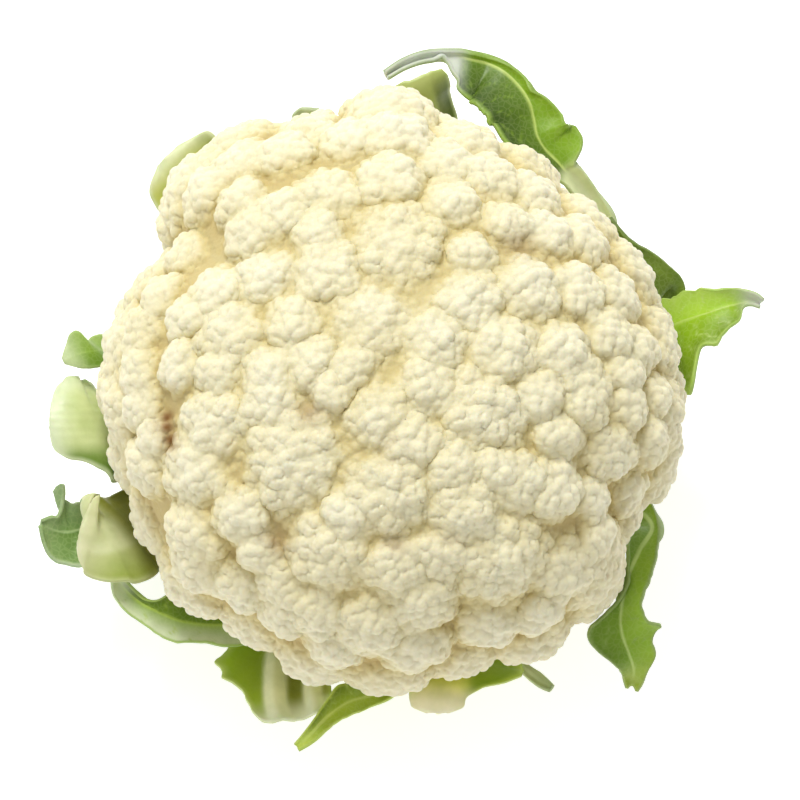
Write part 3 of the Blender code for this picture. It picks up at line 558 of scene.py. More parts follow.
def floret_lumps(centre, radius, normal, chance):
    """The lumps of one floret, on a spiral round the way out."""
    turn = chance.uniform(0, 2 * math.pi)
    cap = 1 - math.cos(LUMP_SPREAD)
    lump = min(LUMP_RADIUS, radius * LUMP_SHARE)
    count = max(LUMPS_AT_LEAST, round(2 * cap * LUMP_COVER * (radius / lump) ** 2))
    lumps = []
    for way in spiral(normal, LUMP_SPREAD, count, turn):
        size = lump * (1 + LUMP_VARIATION * chance.uniform(-1, 1))
        lumps.append((centre + way * (radius + LUMP_STAND - lump), size, way))
    return lumps


def branch_balls():
    """Balls that taper along each branch, from the stem out to the florets."""
    balls = []
    inner = np.array(BRANCH_INNER)
    outer = np.array(BRANCH_OUTER)
    for index in range(BRANCHES):
        azimuth = 2 * math.pi * index / BRANCHES
        for share in np.linspace(0, 1, BRANCH_BALLS):
            reach, height, radius = (1 - share) * inner + share * outer
            centre = np.array([reach * math.cos(azimuth), reach * math.sin(azimuth), height])
            balls.append((centre, radius))
    return balls


def form_reach(ways):
    """How far the smooth form goes along each direction from the middle."""
    azimuth = np.arctan2(ways[:, 1], ways[:, 0])
    across = np.hypot(ways[:, 0], ways[:, 1]) / outline_radius(azimuth)
    height = np.where(ways[:, 2] > 0, CURD_RISE, CURD_DROP)
    fill = across ** ROUNDNESS + (np.abs(ways[:, 2]) / height) ** ROUNDNESS
    return fill ** (-1 / ROUNDNESS)


def core_reach(ways):
    """How far the smooth core goes along each direction from the middle."""
    under = np.clip(-ways[:, 2] * UNDER_FADE, 0, 1)
    share = CORE_SHARE + (CORE_UNDER - CORE_SHARE) * under
    return share * form_reach(ways)


def sphere_template(subdivisions):
    """Points and faces of a unit sphere."""
    bm = bmesh.new()
    bmesh.ops.create_icosphere(bm, subdivisions=subdivisions, radius=1)
    points = np.array([vertex.co[:] for vertex in bm.verts])
    faces = np.array([[vertex.index for vertex in face.verts] for face in bm.faces])
    bm.free()
    return points, faces


def mesh_object(name, points, faces):
    """A linked mesh object from arrays of points and faces."""
    mesh = bpy.data.meshes.new(name)
    mesh.from_pydata(points, [], faces)
    made = bpy.data.objects.new(name, mesh)
    bpy.context.scene.collection.objects.link(made)
    return made


def ball_cluster(florets, lumps):
    """One object with every ball of the curd in it, still overlapping."""
    points = []
    faces = []
    count = 0
    coarse = sphere_template(3)
    fine = sphere_template(4)
    core, core_faces = sphere_template(5)
    core /= np.linalg.norm(core, axis=1)[:, None]
    parts = [(MIDDLE + core * core_reach(core)[:, None], core_faces)]
    parts += [(centre + fine[0] * radius, fine[1]) for centre, radius, normal in florets]
    parts += [(centre + coarse[0] * radius, coarse[1]) for centre, radius, way in lumps]
    parts += [(centre + coarse[0] * radius, coarse[1]) for centre, radius in branch_balls()]
    for part_points, part_faces in parts:
        points.append(part_points)
        faces.append(part_faces + count)
        count += len(part_points)
    return mesh_object("curd_balls", np.vstack(points), np.vstack(faces))


def fused(source, voxel):
    """Points and four-sided faces of the outer skin of an object's overlapping parts."""
    joining = source.modifiers.new("Joining", "REMESH")
    joining.mode = "VOXEL"
    joining.voxel_size = voxel
    depsgraph = bpy.context.evaluated_depsgraph_get()
    done = source.evaluated_get(depsgraph)
    mesh = done.to_mesh()
    points = np.empty(len(mesh.vertices) * 3)
    mesh.vertices.foreach_get("co", points)
    corners = np.empty(len(mesh.loops), dtype=int)
    mesh.loops.foreach_get("vertex_index", corners)
    done.to_mesh_clear()
    old = source.data
    bpy.data.objects.remove(source)
    bpy.data.meshes.remove(old)
    return points.reshape(-1, 3), corners.reshape(-1, 4)


def vertex_normals(points, faces):
    """The unit way out at each point of a mesh."""
    across = points[faces[:, 2]] - points[faces[:, 0]]
    along = points[faces[:, 3]] - points[faces[:, 1]]
    face_normals = np.cross(across, along)
    normals = np.zeros_like(points)
    for corner in range(4):
        for axis in range(3):
            normals[:, axis] += np.bincount(faces[:, corner], face_normals[:, axis], len(points))
    return normals / np.maximum(np.linalg.norm(normals, axis=1), 1e-12)[:, None]


def smoothed(points, faces, rounds):
    """Points moved to the mean of their neighbours' places, a few times."""
    first = faces.ravel()
    second = np.roll(faces, -1, axis=1).ravel()
    share = np.bincount(first, minlength=len(points)) + np.bincount(second, minlength=len(points))
    for _ in range(rounds):
        total = np.zeros_like(points)
        for axis in range(3):
            total[:, axis] = (np.bincount(first, points[second, axis], len(points))
                              + np.bincount(second, points[first, axis], len(points)))
        points = 0.5 * points + 0.5 * total / share[:, None]
    return points


def studs(carriers, kind):
    """Centres of small balls on larger ones, without those buried in a neighbour."""
    centres = []
    cap = 1 - math.cos(kind["spread"])
    for centre, radius, way in carriers:
        count = max(3, round(2 * cap * (radius / kind["spacing"] * CAP_COVER) ** 2))
        centres.append(centre + spiral(way, kind["spread"], count) * radius)
    centres = np.vstack(centres)
    hubs = np.array([centre for centre, radius, way in carriers])
    limits = (np.array([radius for centre, radius, way in carriers]) - kind["hidden"]) ** 2
    kept = np.ones(len(centres), dtype=bool)
    for start in range(0, len(centres), STUD_BATCH):
        part = centres[start:start + STUD_BATCH]
        distance = ((part ** 2).sum(axis=1)[:, None] + (hubs ** 2).sum(axis=1)[None, :]
                    - 2 * part @ hubs.T)
        kept[start:start + STUD_BATCH] = ~(distance < limits[None, :]).any(axis=1)
    return centres[kept]


def nearest(places, points):
    """Index and distance of the nearest place to each point."""
    tree = KDTree(len(places))
    for index, place in enumerate(places):
        tree.insert(place, index)
    tree.balance()
    found = [tree.find(point) for point in points]
    return np.array([item[1] for item in found]), np.array([item[2] for item in found])


def raised(points, faces, centres, kind, share):
    """Points raised where a small ball lies, and how high each stands in it, from 0 to 1."""
    normals = vertex_normals(points, faces)
    index, distance = nearest(centres, points)
    cap = np.sqrt(np.maximum(kind["radius"] ** 2 - distance ** 2, 0)) - kind["sunk"]
    cap = np.maximum(cap, 0)
    return points + normals * (cap * share)[:, None], cap / (kind["radius"] - kind["sunk"])


def depth_below(points):
    """How far each point lies under the smooth form, towards the middle, in millimetres."""
    offsets = points - MIDDLE
    distance = np.linalg.norm(offsets, axis=1)
    reach = form_reach(offsets / distance[:, None])
    return (reach - distance) * 1000


def spot_strength(points):
    """How brown each point is, from the spots in the creases."""
    strength = np.zeros(len(points))
    for across, down, radius, share in SPOTS_PX:
        centre = seen_on_curd(across, down)
        distance = np.linalg.norm((points - centre)[:, :2], axis=1) * 1000 / radius
        strength = np.maximum(strength, share * np.exp(-distance ** 2))
    return strength


def add_value(mesh, name, values):
    """A number for each point of a mesh, which its material reads."""
    attribute = mesh.attributes.new(name, "FLOAT", "POINT")
    attribute.data.foreach_set("value", values.astype(np.float32))


def sector_of(florets):
    """Which piece of the curd each floret belongs to: the crown, or a sector round it."""
    sectors = []
    for centre, radius, normal in florets:
        azimuth = math.atan2(centre[1], centre[0]) % (2 * math.pi)
        outside = math.hypot(centre[0], centre[1]) > CROWN_RADIUS or centre[2] < WIDEST_LEVEL
        sectors.append(1 + int(azimuth / (2 * math.pi) * CURD_SECTORS) if outside else 0)
    return np.array(sectors)


def flank_share(points, florets, owner):
    """The share of a granule's height that each point takes: low on a floret's top, 1 below."""
    centres = np.array([centre for centre, radius, normal in florets])[owner]
    normals = np.array([normal for centre, radius, normal in florets])[owner]
    offsets = points - centres
    facing = (offsets * normals).sum(axis=1) / np.linalg.norm(offsets, axis=1)
    angle = np.arccos(np.clip(facing, -1, 1))
    return TOP_GRAIN + (1 - TOP_GRAIN) * smooth_step(angle, SMOOTH_TOP, ROUGH_FLANK)


def curd_piece(name, points, faces, normals, values, surface):
    """One piece of the curd's skin, from its own faces and the points that they use."""
    used, inverse = np.unique(faces, return_inverse=True)
    piece = mesh_object(name, points[used], inverse.reshape(-1, 4))
    mesh = piece.data
    mesh.shade_smooth()
    mesh.normals_split_custom_set_from_vertices(normals[used])
    for key, value in values.items():
        add_value(mesh, key, value[used])
    mesh.materials.append(surface)
    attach(piece, "root")
    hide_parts("curd")


def make_curd(surface):
    """The curd's pieces: one skin, split where its florets meet."""
    chance = np.random.default_rng(7)
    florets = main_florets()
    lumps = []
    for centre, radius, normal in florets:
        lumps.extend(floret_lumps(centre, radius, normal, chance))
    voxel = CURD_VOXEL
    points, faces = fused(ball_cluster(florets, lumps), voxel)
    points = smoothed(points, faces, 1)
    owner, _ = nearest([centre for centre, radius, normal in florets], points)
    flank = flank_share(points, florets, owner)
    points, _ = raised(points, faces, studs(lumps, KNOBS), KNOBS, np.ones(len(points)))
    points, grain = raised(points, faces, studs(lumps, GRANULES), GRANULES, flank)
    normals = vertex_normals(points, faces)
    depth = depth_below(points)
    values = {
        # depth drives the painted shade in the creases: the deeper a point lies, the darker and warmer it is
        "depth": depth,
        # grain sets the painted shade between granules: low in the gaps, high on granule tops and on the
        # smooth floret tops
        "grain": np.maximum(grain, 1 - flank),
        "spot": spot_strength(points) * smooth_step(depth, *SPOT_DEPTHS),
    }
    sector = sector_of(florets)[owner][faces[:, 0]]
    for index in range(CURD_SECTORS + 1):
        name = "curd_crown" if index == 0 else "curd_side_%d" % index
        curd_piece(name, points, faces[sector == index], normals, values, surface)
    return florets, lumps


def reach_table(florets, lumps):
    """How far the curd goes from its middle, widened a little, by azimuth and elevation."""
    azimuths = np.radians(np.arange(0, 360, TABLE_STEP))
    elevations = np.radians(np.arange(-90, 91, TABLE_STEP))
    azimuth, elevation = np.meshgrid(azimuths, elevations, indexing="ij")
    ways = np.stack([np.cos(azimuth) * np.cos(elevation), np.sin(azimuth) * np.cos(elevation),
                     np.sin(elevation)], axis=-1).reshape(-1, 3)
    balls = [(centre, radius) for centre, radius, way in florets + lumps] + branch_balls()
    offsets = np.array([centre for centre, radius in balls]) - MIDDLE
    spare = np.array([radius for centre, radius in balls]) ** 2 - (offsets ** 2).sum(axis=1)
    reach = core_reach(ways)
    for start in range(0, len(ways), WAY_BATCH):
        part = slice(start, start + WAY_BATCH)
        along = ways[part] @ offsets.T
        inside = along ** 2 + spare
        far = np.where((inside > 0) & (along > 0), along + np.sqrt(np.maximum(inside, 0)), 0)
        reach[part] = np.maximum(reach[part], far.max(axis=1))
    table = reach.reshape(azimuth.shape)
    wide = table
    for shift in ((1, 0), (-1, 0), (0, 1), (0, -1), (1, 1), (-1, -1), (1, -1), (-1, 1)):
        wide = np.maximum(wide, np.roll(table, shift, axis=(0, 1)))
    return wide


def keep_off_curd(points, table):
    """Points of a leaf moved straight away from the head's middle, to clear the curd."""
    flat = points.reshape(-1, 3) - MIDDLE
    distance = np.linalg.norm(flat, axis=1)
    azimuth = np.degrees(np.arctan2(flat[:, 1], flat[:, 0])) % 360 / TABLE_STEP
    elevation = (np.degrees(np.arcsin(np.clip(flat[:, 2] / distance, -1, 1))) + 90) / TABLE_STEP
    low_a = np.floor(azimuth).astype(int)
    low_e = np.minimum(np.floor(elevation).astype(int), table.shape[1] - 2)
    share_a = azimuth - low_a
    share_e = elevation - low_e
    next_a = (low_a + 1) % table.shape[0]
    low_a = low_a % table.shape[0]
    lower = table[low_a, low_e] * (1 - share_a) + table[next_a, low_e] * share_a
    upper = table[low_a, low_e + 1] * (1 - share_a) + table[next_a, low_e + 1] * share_a
    needed = lower * (1 - share_e) + upper * share_e + LEAF_CLEARANCE
    moved = MIDDLE + flat * (np.maximum(distance, needed) / distance)[:, None]
    return moved.reshape(points.shape)


def smooth_path(rows, count):
    """Rows of numbers at even steps along a smooth curve through the given rows, and its length."""
    rows = np.array(rows, dtype=float)
    before = 2 * rows[0] - rows[1]
    after = 2 * rows[-1] - rows[-2]
    knots = np.vstack([before, rows, after])
    spans = np.linalg.norm(np.diff(knots[:, :3], axis=0), axis=1)
    fine = []
    for index in range(1, len(knots) - 2):
        a, b, c, d = knots[index - 1:index + 3]
        first, second, third = spans[index - 1:index + 2]
        leaving = c - b + second * ((b - a) / first - (c - a) / (first + second))
        arriving = c - b + second * ((d - c) / third - (d - b) / (second + third))
        for share in np.linspace(0, 1, PATH_STEPS, endpoint=False):
            fine.append(b + leaving * share + (3 * (c - b) - 2 * leaving - arriving) * share ** 2
                        + (2 * (b - c) + leaving + arriving) * share ** 3)
    fine.append(rows[-1])
    fine = np.array(fine)
    lengths = np.linalg.norm(np.diff(fine[:, :3], axis=0), axis=1)
    travelled = np.concatenate([[0], np.cumsum(lengths)])
    wanted = np.linspace(0, travelled[-1], count)
    path = np.column_stack([np.interp(wanted, travelled, column) for column in fine.T])
    return path, travelled[-1]


def leaf_rows(shape):
    """The leaf's rows in metres, with its hidden start at the stem put in front."""
    rows = []
    for across, down, height, left, right, lean in shape["rows"]:
        place = seen_at_height(across, down, height / 1000)
        rows.append([*place, left / 1000, right / 1000, math.radians(lean)])
    azimuth = math.radians(shape["base"])
    out = np.array([math.cos(azimuth), math.sin(azimuth)])
    level = LEAF_LEVELS[shape["level"]]
    width = min(RIB_START, rows[0][3] + BLADE_THICKNESS)
    base = [*(out * (STEM_RADIUS + RIB_GAP)), level, width, width, 0]
    near = np.array(rows[0][:2])
    turn = (out * np.linalg.norm(near) + near) / 2 * TURN_OUT
    rise = level + TURN_RISE * (rows[0][2] - level)
    middle = [*turn, rise, width, width, 0]
    return [base, middle] + rows


def rough_line(count, length, spacing, chance):
    """Random values between -1 and 1 along a line, with a knot at each spacing."""
    knots = max(2, int(length / spacing) + 2)
    values = chance.uniform(-1, 1, knots)
    return np.interp(np.linspace(0, knots - 1, count), np.arange(knots), values)


def between(pair, along):
    """A size in metres at a share of the way, from its two ends' sizes in millimetres."""
    return (pair[0] + (pair[1] - pair[0]) * along) / 1000


def smooth_step(value, low, high):
    """0 up to a low value and 1 from a high one, with a soft rise between."""
    share = np.clip((value - low) / (high - low), 0, 1)
    return share * share * (3 - 2 * share)


def vein_mask(along_m, across_m, wobble):
    """1 on a side vein of a blade and 0 away from it."""
    climb = np.abs(across_m) / math.tan(VEIN_ANGLE)
    turn = (along_m - climb + wobble) / VEIN_SPACING + 0.5 * (across_m > 0)
    off = np.abs(turn - np.round(turn)) * VEIN_SPACING * math.sin(VEIN_ANGLE)
    return np.exp(-(off / VEIN_WIDTH) ** 2)


def path_frame(rows):
    """The unit ways along a path, to its right and up from it, with each row's lean."""
    tangents = np.gradient(rows[:, :3], axis=0)
    tangents /= np.linalg.norm(tangents, axis=1)[:, None]
    sides = np.cross(tangents, [0.0, 0.0, 1.0])
    sides /= np.linalg.norm(sides, axis=1)[:, None]
    ups = np.cross(sides, tangents)
    lean = rows[:, 5:6]
    side = sides * np.cos(lean) + ups * np.sin(lean)
    up = ups * np.cos(lean) - sides * np.sin(lean)
    return tangents, side, up


def torn_edge(steps, length, ragged, chance):
    """How far a ragged edge goes in or out along a leaf, as shares of its width."""
    line = 0
    for share, spacing in zip(TEAR_SHARES, TEAR_SPACINGS):
        line = line + share * rough_line(steps, length, spacing, chance)
    return line * ragged


def sheet_lift(shape, place, along, width, phase):
    """How far a sheet stands above its path: its cup and waves, and what of it is ridges."""
    wave = np.where(place > 0, np.sin(2 * math.pi * WAVES * along + phase[1]),
                    np.sin(2 * math.pi * WAVES * along + phase[0]))
    wave = wave * (along > PLAIN_START)
    lift = (shape["cup"] * place ** 2 + shape["wave"] * wave * np.abs(place) ** 1.5) / 1000
    ridge = np.zeros(width.shape)
    for middle, spread, height in shape.get("ridges", []):
        away = (width * 1000 - middle) / spread
        ridge = ridge + height / 1000 * np.exp(-away ** 2) * (along > PLAIN_START)
    return lift + ridge, ridge


def side_veins(shape, along, width, length, flesh):
    """1 on the side veins of a leaf's blade and 0 elsewhere. A stub has none."""
    wobble = sum(size * np.sin(width * across + along * ahead) for size, across, ahead in VEIN_WOBBLES)
    veins = vein_mask(along * length, width, wobble) * smooth_step(flesh, *VEIN_BEGINS)
    return veins * (shape["rib"][1] < STUB_TIP)


def under_face(top, thickness):
    """The under side of a sheet, straight below its upper face by its thickness."""
    down = np.gradient(top, axis=0)
    right = np.gradient(top, axis=1)
    normals = softened(np.cross(right, down), SOFT_ROUNDS)
    normals /= np.maximum(np.linalg.norm(normals, axis=2), 1e-12)[..., None]
    return top - normals * thickness[..., None]


def make_leaf(name, shape, table, surface):
    """One leaf: its sheet, its thickness, and a colour at each point."""
    looks = LEAF_LOOKS[name]
    grid = LEAF_GRID
    chance = np.random.default_rng(sum(ord(letter) for letter in name))
    phase = chance.uniform(0, 2 * math.pi, 2)
    _, length = smooth_path(leaf_rows(shape), LENGTH_STEPS)
    steps = int(length / grid)
    rows, length = smooth_path(leaf_rows(shape), steps)
    spread = rows[:, 3:4] + rows[:, 4:5]
    widest = spread.max()
    columns = max(FEWEST_COLUMNS, int(widest / grid) | 1)
    place = np.linspace(-1, 1, columns)[None, :]
    along = np.linspace(0, 1, steps)[:, None]
    tangents, side, up = path_frame(rows)
    edges = [torn_edge(steps, length, looks["ragged"], chance) for _ in range(2)]
    edge = np.where(place > 0, edges[1][:, None], edges[0][:, None])
    half = np.where(place > 0, rows[:, 4:5], rows[:, 3:4])
    width = place * half * (1 + edge * np.abs(place) ** 3 * smooth_step(along, *TEAR_BEGINS))
    flesh = np.abs(width) / between(shape["flesh"], along)
    share = np.sqrt(1 - np.minimum(flesh, 1) ** 2)
    veins = side_veins(shape, along, width, length, flesh)
    lift, ridge = sheet_lift(shape, place, along, width, phase)
    lift = lift - veins * VEIN_DEPTH
    lift = lift + share * RIDGE_HEIGHT * np.cos(2 * math.pi * width / RIDGE_SPACING)
    taper = 1 - TAPER * smooth_step(along, TAPER_START, 1)
    rib = between(shape["rib"], along)
    thickness = BLADE_THICKNESS + np.maximum(0, rib - BLADE_THICKNESS) * share * taper
    places = rows[:, None, :3] + side[:, None, :] * width[..., None] + up[:, None, :] * lift[..., None]
    fray = FRAY * rough_line(columns, widest, FRAY_SPACING, chance) * spread / widest
    fray = fray * smooth_step(along, *FRAY_ENDS)
    places = places + tangents[:, None, :] * fray[..., None]
    top = places + softened(keep_off_curd(places, table) - places, SOFT_ROUNDS)
    bottom = under_face(top, thickness)
    tint_top, tint_under = leaf_tints(looks, place, along, width, ridge, veins)
    piece = leaf_mesh(name, top, bottom, tint_top, tint_under)
    piece.data.materials.append(surface)
    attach(piece, "root")
    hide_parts(name)


def softened(grid, rounds):
    """A grid of directions, each drawn a few times towards the mean of its neighbours."""
    for _ in range(rounds):
        wide = np.pad(grid, ((1, 1), (1, 1), (0, 0)), mode="edge")
        around = wide[:-2, 1:-1] + wide[2:, 1:-1] + wide[1:-1, :-2] + wide[1:-1, 2:]
        grid = 0.5 * grid + 0.125 * around
    return grid


def blended(first, second, share):
    """One colour turned into another, by a grid of shares."""
    share = share[..., None]
    return first * (1 - share) + second * share


def leaf_tints(looks, place, along, width, ridge, veins):
    """Colours of a leaf's upper face and of its under side."""
    away = np.abs(place) + 0 * along
    left = blended(linear(looks["left"][0]), linear(looks["left"][1]), away)
    right = blended(linear(looks["right"][0]), linear(looks["right"][1]), away)
    colour = blended(left, right, smooth_step(place, *SIDES_MEET) + 0 * along)
    base, tip = looks["line"]
    line = (tip + (base - tip) * (1 - along) ** LINE_FADE) / 1000
    on_line = 1 - smooth_step(np.abs(width), line * LINE_MEETS[0], line * LINE_MEETS[1])
    colour = blended(colour, linear(looks["rib"]), on_line)
    colour = blended(colour, linear(looks["vein"]), veins * VEIN_SHOWS)
    if ridge.any():
        on_ridge = smooth_step(ridge / ridge.max(), *RIDGE_MEETS)
        colour = blended(colour, linear(looks["vein"]), on_ridge)
    colour = blended(colour, linear(looks["rim"]), smooth_step(away, *RIM_MEETS))
    if "start" in looks:
        ended = smooth_step(along, *looks["start_ends"]) + 0 * place
        colour = blended(linear(looks["start"]), colour, ended)
    tip_share = smooth_step(along, *looks.get("tip_ends", TIP_ENDS)) + 0 * place
    colour = blended(colour, linear(looks["tip"]), tip_share)
    return colour, (1 - UNDER_TAKES) * linear(looks["under"]) + UNDER_TAKES * colour


def leaf_mesh(name, top, bottom, tint_top, tint_under):
    """A closed mesh between a leaf's two faces."""
    steps, columns = top.shape[:2]
    count = steps * columns
    number = np.arange(count).reshape(steps, columns)
    upper = np.stack([number[:-1, :-1], number[:-1, 1:], number[1:, 1:], number[1:, :-1]],
                     axis=-1).reshape(-1, 4)
    faces = [upper, upper[:, ::-1] + count]
    for line in (number[:, 0], number[::-1, -1], number[0, ::-1], number[-1]):
        wall = np.stack([line[:-1], line[1:], line[1:] + count, line[:-1] + count], axis=-1)
        faces.append(wall)
    points = np.vstack([top.reshape(-1, 3), bottom.reshape(-1, 3)])
    faces = np.vstack(faces)
    piece = mesh_object(name + "_look", points, faces)
    piece.data.shade_smooth()
    tint = np.ones((len(points), 4), dtype=np.float32)
    tint[:count, :3] = tint_top.reshape(-1, 3)
    tint[count:, :3] = tint_under.reshape(-1, 3)
    attribute = piece.data.color_attributes.new("tint", "FLOAT_COLOR", "POINT")
    attribute.data.foreach_set("color", tint.ravel())
    return piece


def stem_wall(azimuth):
    """Points of the stump's side: a waist, ledges where leaves were, and fine flutes."""
    height = np.linspace(*STEM_ENDS, STEM_LEVELS)[:, None]
    waist = np.interp(height[:, 0], WAIST_HEIGHTS, WAIST_SHARES)
    radius = STEM_RADIUS * waist[:, None] * np.ones((1, STEM_SIDES))
    for scar, (level, start) in enumerate(SCARS):
        bump = np.exp(-((height - level - 0.001 * np.sin(azimuth * 2 + scar)) / SCAR_WIDTH) ** 2)
        facing = smooth_step(np.cos(azimuth - math.radians(start)), -0.2, 0.4)
        radius = radius + SCAR_HEIGHT * bump * facing
    radius = radius + FLUTE_DEPTH * np.sin(azimuth * FLUTES + 3 * np.sin(height * 300))
    return np.stack([radius * np.cos(azimuth), radius * np.sin(azimuth), height + 0 * azimuth], axis=-1)


def stem_face(azimuth):
    """Points of the stump's cut face, from its edge inward."""
    inward = np.linspace(1, CUT_END, CUT_RINGS)[:, None]
    radius = inward * (STEM_RADIUS - CUT_INSET)
    height = CUT_RELIEF * np.sin(azimuth * 7) * inward * (1 - inward) + 0 * azimuth
    return np.stack([radius * np.cos(azimuth), radius * np.sin(azimuth), height], axis=-1)


def make_stem(surface):
    """The stump with its cut face."""
    azimuth = np.linspace(0, 2 * math.pi, STEM_SIDES, endpoint=False)[None, :]
    grid = np.concatenate([stem_face(azimuth)[::-1], stem_wall(azimuth)], axis=0)
    total = CUT_RINGS + STEM_LEVELS
    number = np.arange(total * STEM_SIDES).reshape(total, STEM_SIDES)
    ahead = np.roll(number, -1, axis=1)
    faces = np.stack([number[:-1], ahead[:-1], ahead[1:], number[1:]], axis=-1).reshape(-1, 4)
    piece = mesh_object("stem_look", grid.reshape(-1, 3), faces)
    piece.data.shade_smooth()
    cut = np.concatenate([np.ones((CUT_RINGS, STEM_SIDES)), np.zeros((STEM_LEVELS, STEM_SIDES))])
    add_value(piece.data, "cut", cut.ravel())
    piece.data.materials.append(surface)
    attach(piece, "root")
    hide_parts("stem")


class Shader:
    """A material's nodes, with short calls to add and join them."""

    def __init__(self, name):
        self.material = bpy.data.materials.new(name)
        self.material.use_nodes = True
        self.tree = self.material.node_tree
        self.main = self.tree.nodes["Principled BSDF"]

    def add(self, kind, **settings):
        node = self.tree.nodes.new(kind)
        for key, value in settings.items():
            setattr(node, key, value)
        return node

    def join(self, source, target):
        self.tree.links.new(source, target)

    def attribute(self, name, output="Fac"):
        return self.add("ShaderNodeAttribute", attribute_name=name).outputs[output]

    def object_place(self):
        return self.add("ShaderNodeTexCoord").outputs["Object"]

    def noise(self, scale, detail=3.0, roughness=0.5):
        node = self.add("ShaderNodeTexNoise")
        node.inputs["Scale"].default_value = scale
        node.inputs["Detail"].default_value = detail
        node.inputs["Roughness"].default_value = roughness
        self.join(self.object_place(), node.inputs["Vector"])
        return node.outputs["Fac"]

    def cells(self, scale, feature="F1"):
        node = self.add("ShaderNodeTexVoronoi", feature=feature)
        node.inputs["Scale"].default_value = scale
        self.join(self.object_place(), node.inputs["Vector"])
        return node.outputs["Distance"]

    def ramp(self, source, stops):
        node = self.add("ShaderNodeValToRGB")
        ramp = node.color_ramp
        while len(ramp.elements) < len(stops):
            ramp.elements.new(0.5)
        for element, (position, colour) in zip(ramp.elements, stops):
            element.position = position
            element.color = (*colour, 1)
        self.join(source, node.inputs["Fac"])
        return node.outputs["Color"]

    def scaled(self, source, low, high, low_to=0.0, high_to=1.0):
        node = self.add("ShaderNodeMapRange")
        node.inputs["From Min"].default_value = low
        node.inputs["From Max"].default_value = high
        node.inputs["To Min"].default_value = low_to
        node.inputs["To Max"].default_value = high_to
        self.join(source, node.inputs["Value"])
        return node.outputs["Result"]

    def mixed(self, share, first, second, blend="MIX"):
        node = self.add("ShaderNodeMix", data_type="RGBA", blend_type=blend)
        for value, socket in ((share, node.inputs[0]), (first, node.inputs[6]), (second, node.inputs[7])):
            if isinstance(value, bpy.types.NodeSocket):
                self.join(value, socket)
            elif isinstance(value, float):
                socket.default_value = value
            else:
                socket.default_value = (*value, 1)
        return node.outputs[2]

    def bumped(self, source, distance, strength, below=None):
        node = self.add("ShaderNodeBump")
        node.inputs["Distance"].default_value = distance
        node.inputs["Strength"].default_value = strength
        self.join(source, node.inputs["Height"])
        if below is not None:
            self.join(below, node.inputs["Normal"])
        return node.outputs["Normal"]


def curd_material():
    """Cream tissue, pale on the lumps, with painted shade in the creases that grows darker and warmer with
    depth; finely granular.
    """
    shader = Shader("curd_tissue")
    depth = shader.attribute("depth")
    deep = shader.scaled(depth, 0.0, 10.0)
    # Painted shade: the cream darkens to warm tan and brown as the depth under the smooth form grows,
    # standing in for the shade in the creases
    cream = shader.ramp(deep, [
        (0.0, linear((230, 225, 196))), (0.25, linear((226, 219, 184))),
        (0.45, linear((212, 199, 148))), (0.70, linear((186, 162, 102))), (1.0, linear((150, 120, 62)))])
    patches = shader.scaled(shader.noise(38, 2.0), 0.35, 0.7)
    warm = shader.mixed(patches, cream, linear((244, 237, 208)), "MULTIPLY")
    tone = shader.mixed(0.35, cream, warm)
    # Painted shade between the granules: a point low in its granule gets a darker, warmer tone, while the
    # smooth floret tops keep the plain tone
    grain = shader.scaled(shader.attribute("grain"), 0.0, 0.7)
    painted_gap_shade = shader.mixed(0.16, tone, linear((224, 212, 158)), "MULTIPLY")
    tone_with_gap_shade = shader.mixed(grain, painted_gap_shade, tone)
    spotted = shader.mixed(shader.attribute("spot"), tone_with_gap_shade, linear((128, 88, 38)))
    shader.join(spotted, shader.main.inputs["Base Color"])
    fine = shader.noise(1500, 2.0)
    pores = shader.cells(900)
    normal = shader.bumped(pores, 0.00025, 0.5)
    normal = shader.bumped(fine, 0.00015, 0.5, normal)
    shader.join(normal, shader.main.inputs["Normal"])
    rough = shader.scaled(shader.noise(500, 2.0), 0.3, 0.7, 0.55, 0.75)
    shader.join(rough, shader.main.inputs["Roughness"])
    shader.main.inputs["Specular IOR Level"].default_value = 0.35
    shader.main.inputs["Subsurface Weight"].default_value = 0.35
    shader.main.inputs["Subsurface Radius"].default_value = (1.0, 0.75, 0.4)
    shader.main.inputs["Subsurface Scale"].default_value = 0.0022
    return shader.material


def leaf_material(name, gloss, net_share, net_scale):
    """Waxy leaf tissue: the tint of each point, mottled, with a net of small pale veins."""
    shader = Shader(name)
    tint = shader.attribute("tint", "Color")
    mottle = shader.scaled(shader.noise(150, 4.0), 0.3, 0.7)
    dark = shader.mixed(0.35, tint, linear((176, 190, 130)), "MULTIPLY")
    mottled = shader.mixed(mottle, dark, tint)
    net = shader.scaled(shader.cells(net_scale, "DISTANCE_TO_EDGE"), 0.0, 0.16, 1.0, 0.0)
    pale = shader.mixed(0.5, tint, linear((216, 226, 160)))
    strength = shader.add("ShaderNodeMath", operation="MULTIPLY")
    shader.join(net, strength.inputs[0])
    strength.inputs[1].default_value = net_share
    veined = shader.mixed(strength.outputs[0], mottled, pale)
    shader.join(veined, shader.main.inputs["Base Color"])
    normal = shader.bumped(net, 0.0001, net_share)
    normal = shader.bumped(shader.noise(900, 3.0), 0.00010, 0.3, normal)
    shader.join(normal, shader.main.inputs["Normal"])
    rough = shader.scaled(shader.noise(320, 3.0), 0.3, 0.7, gloss - 0.08, gloss + 0.10)
    shader.join(rough, shader.main.inputs["Roughness"])
    shader.main.inputs["Specular IOR Level"].default_value = 0.32
    shader.main.inputs["Subsurface Weight"].default_value = 0.15
    shader.main.inputs["Subsurface Radius"].default_value = (0.5, 1.0, 0.25)
    shader.main.inputs["Subsurface Scale"].default_value = 0.0012
    return shader.material


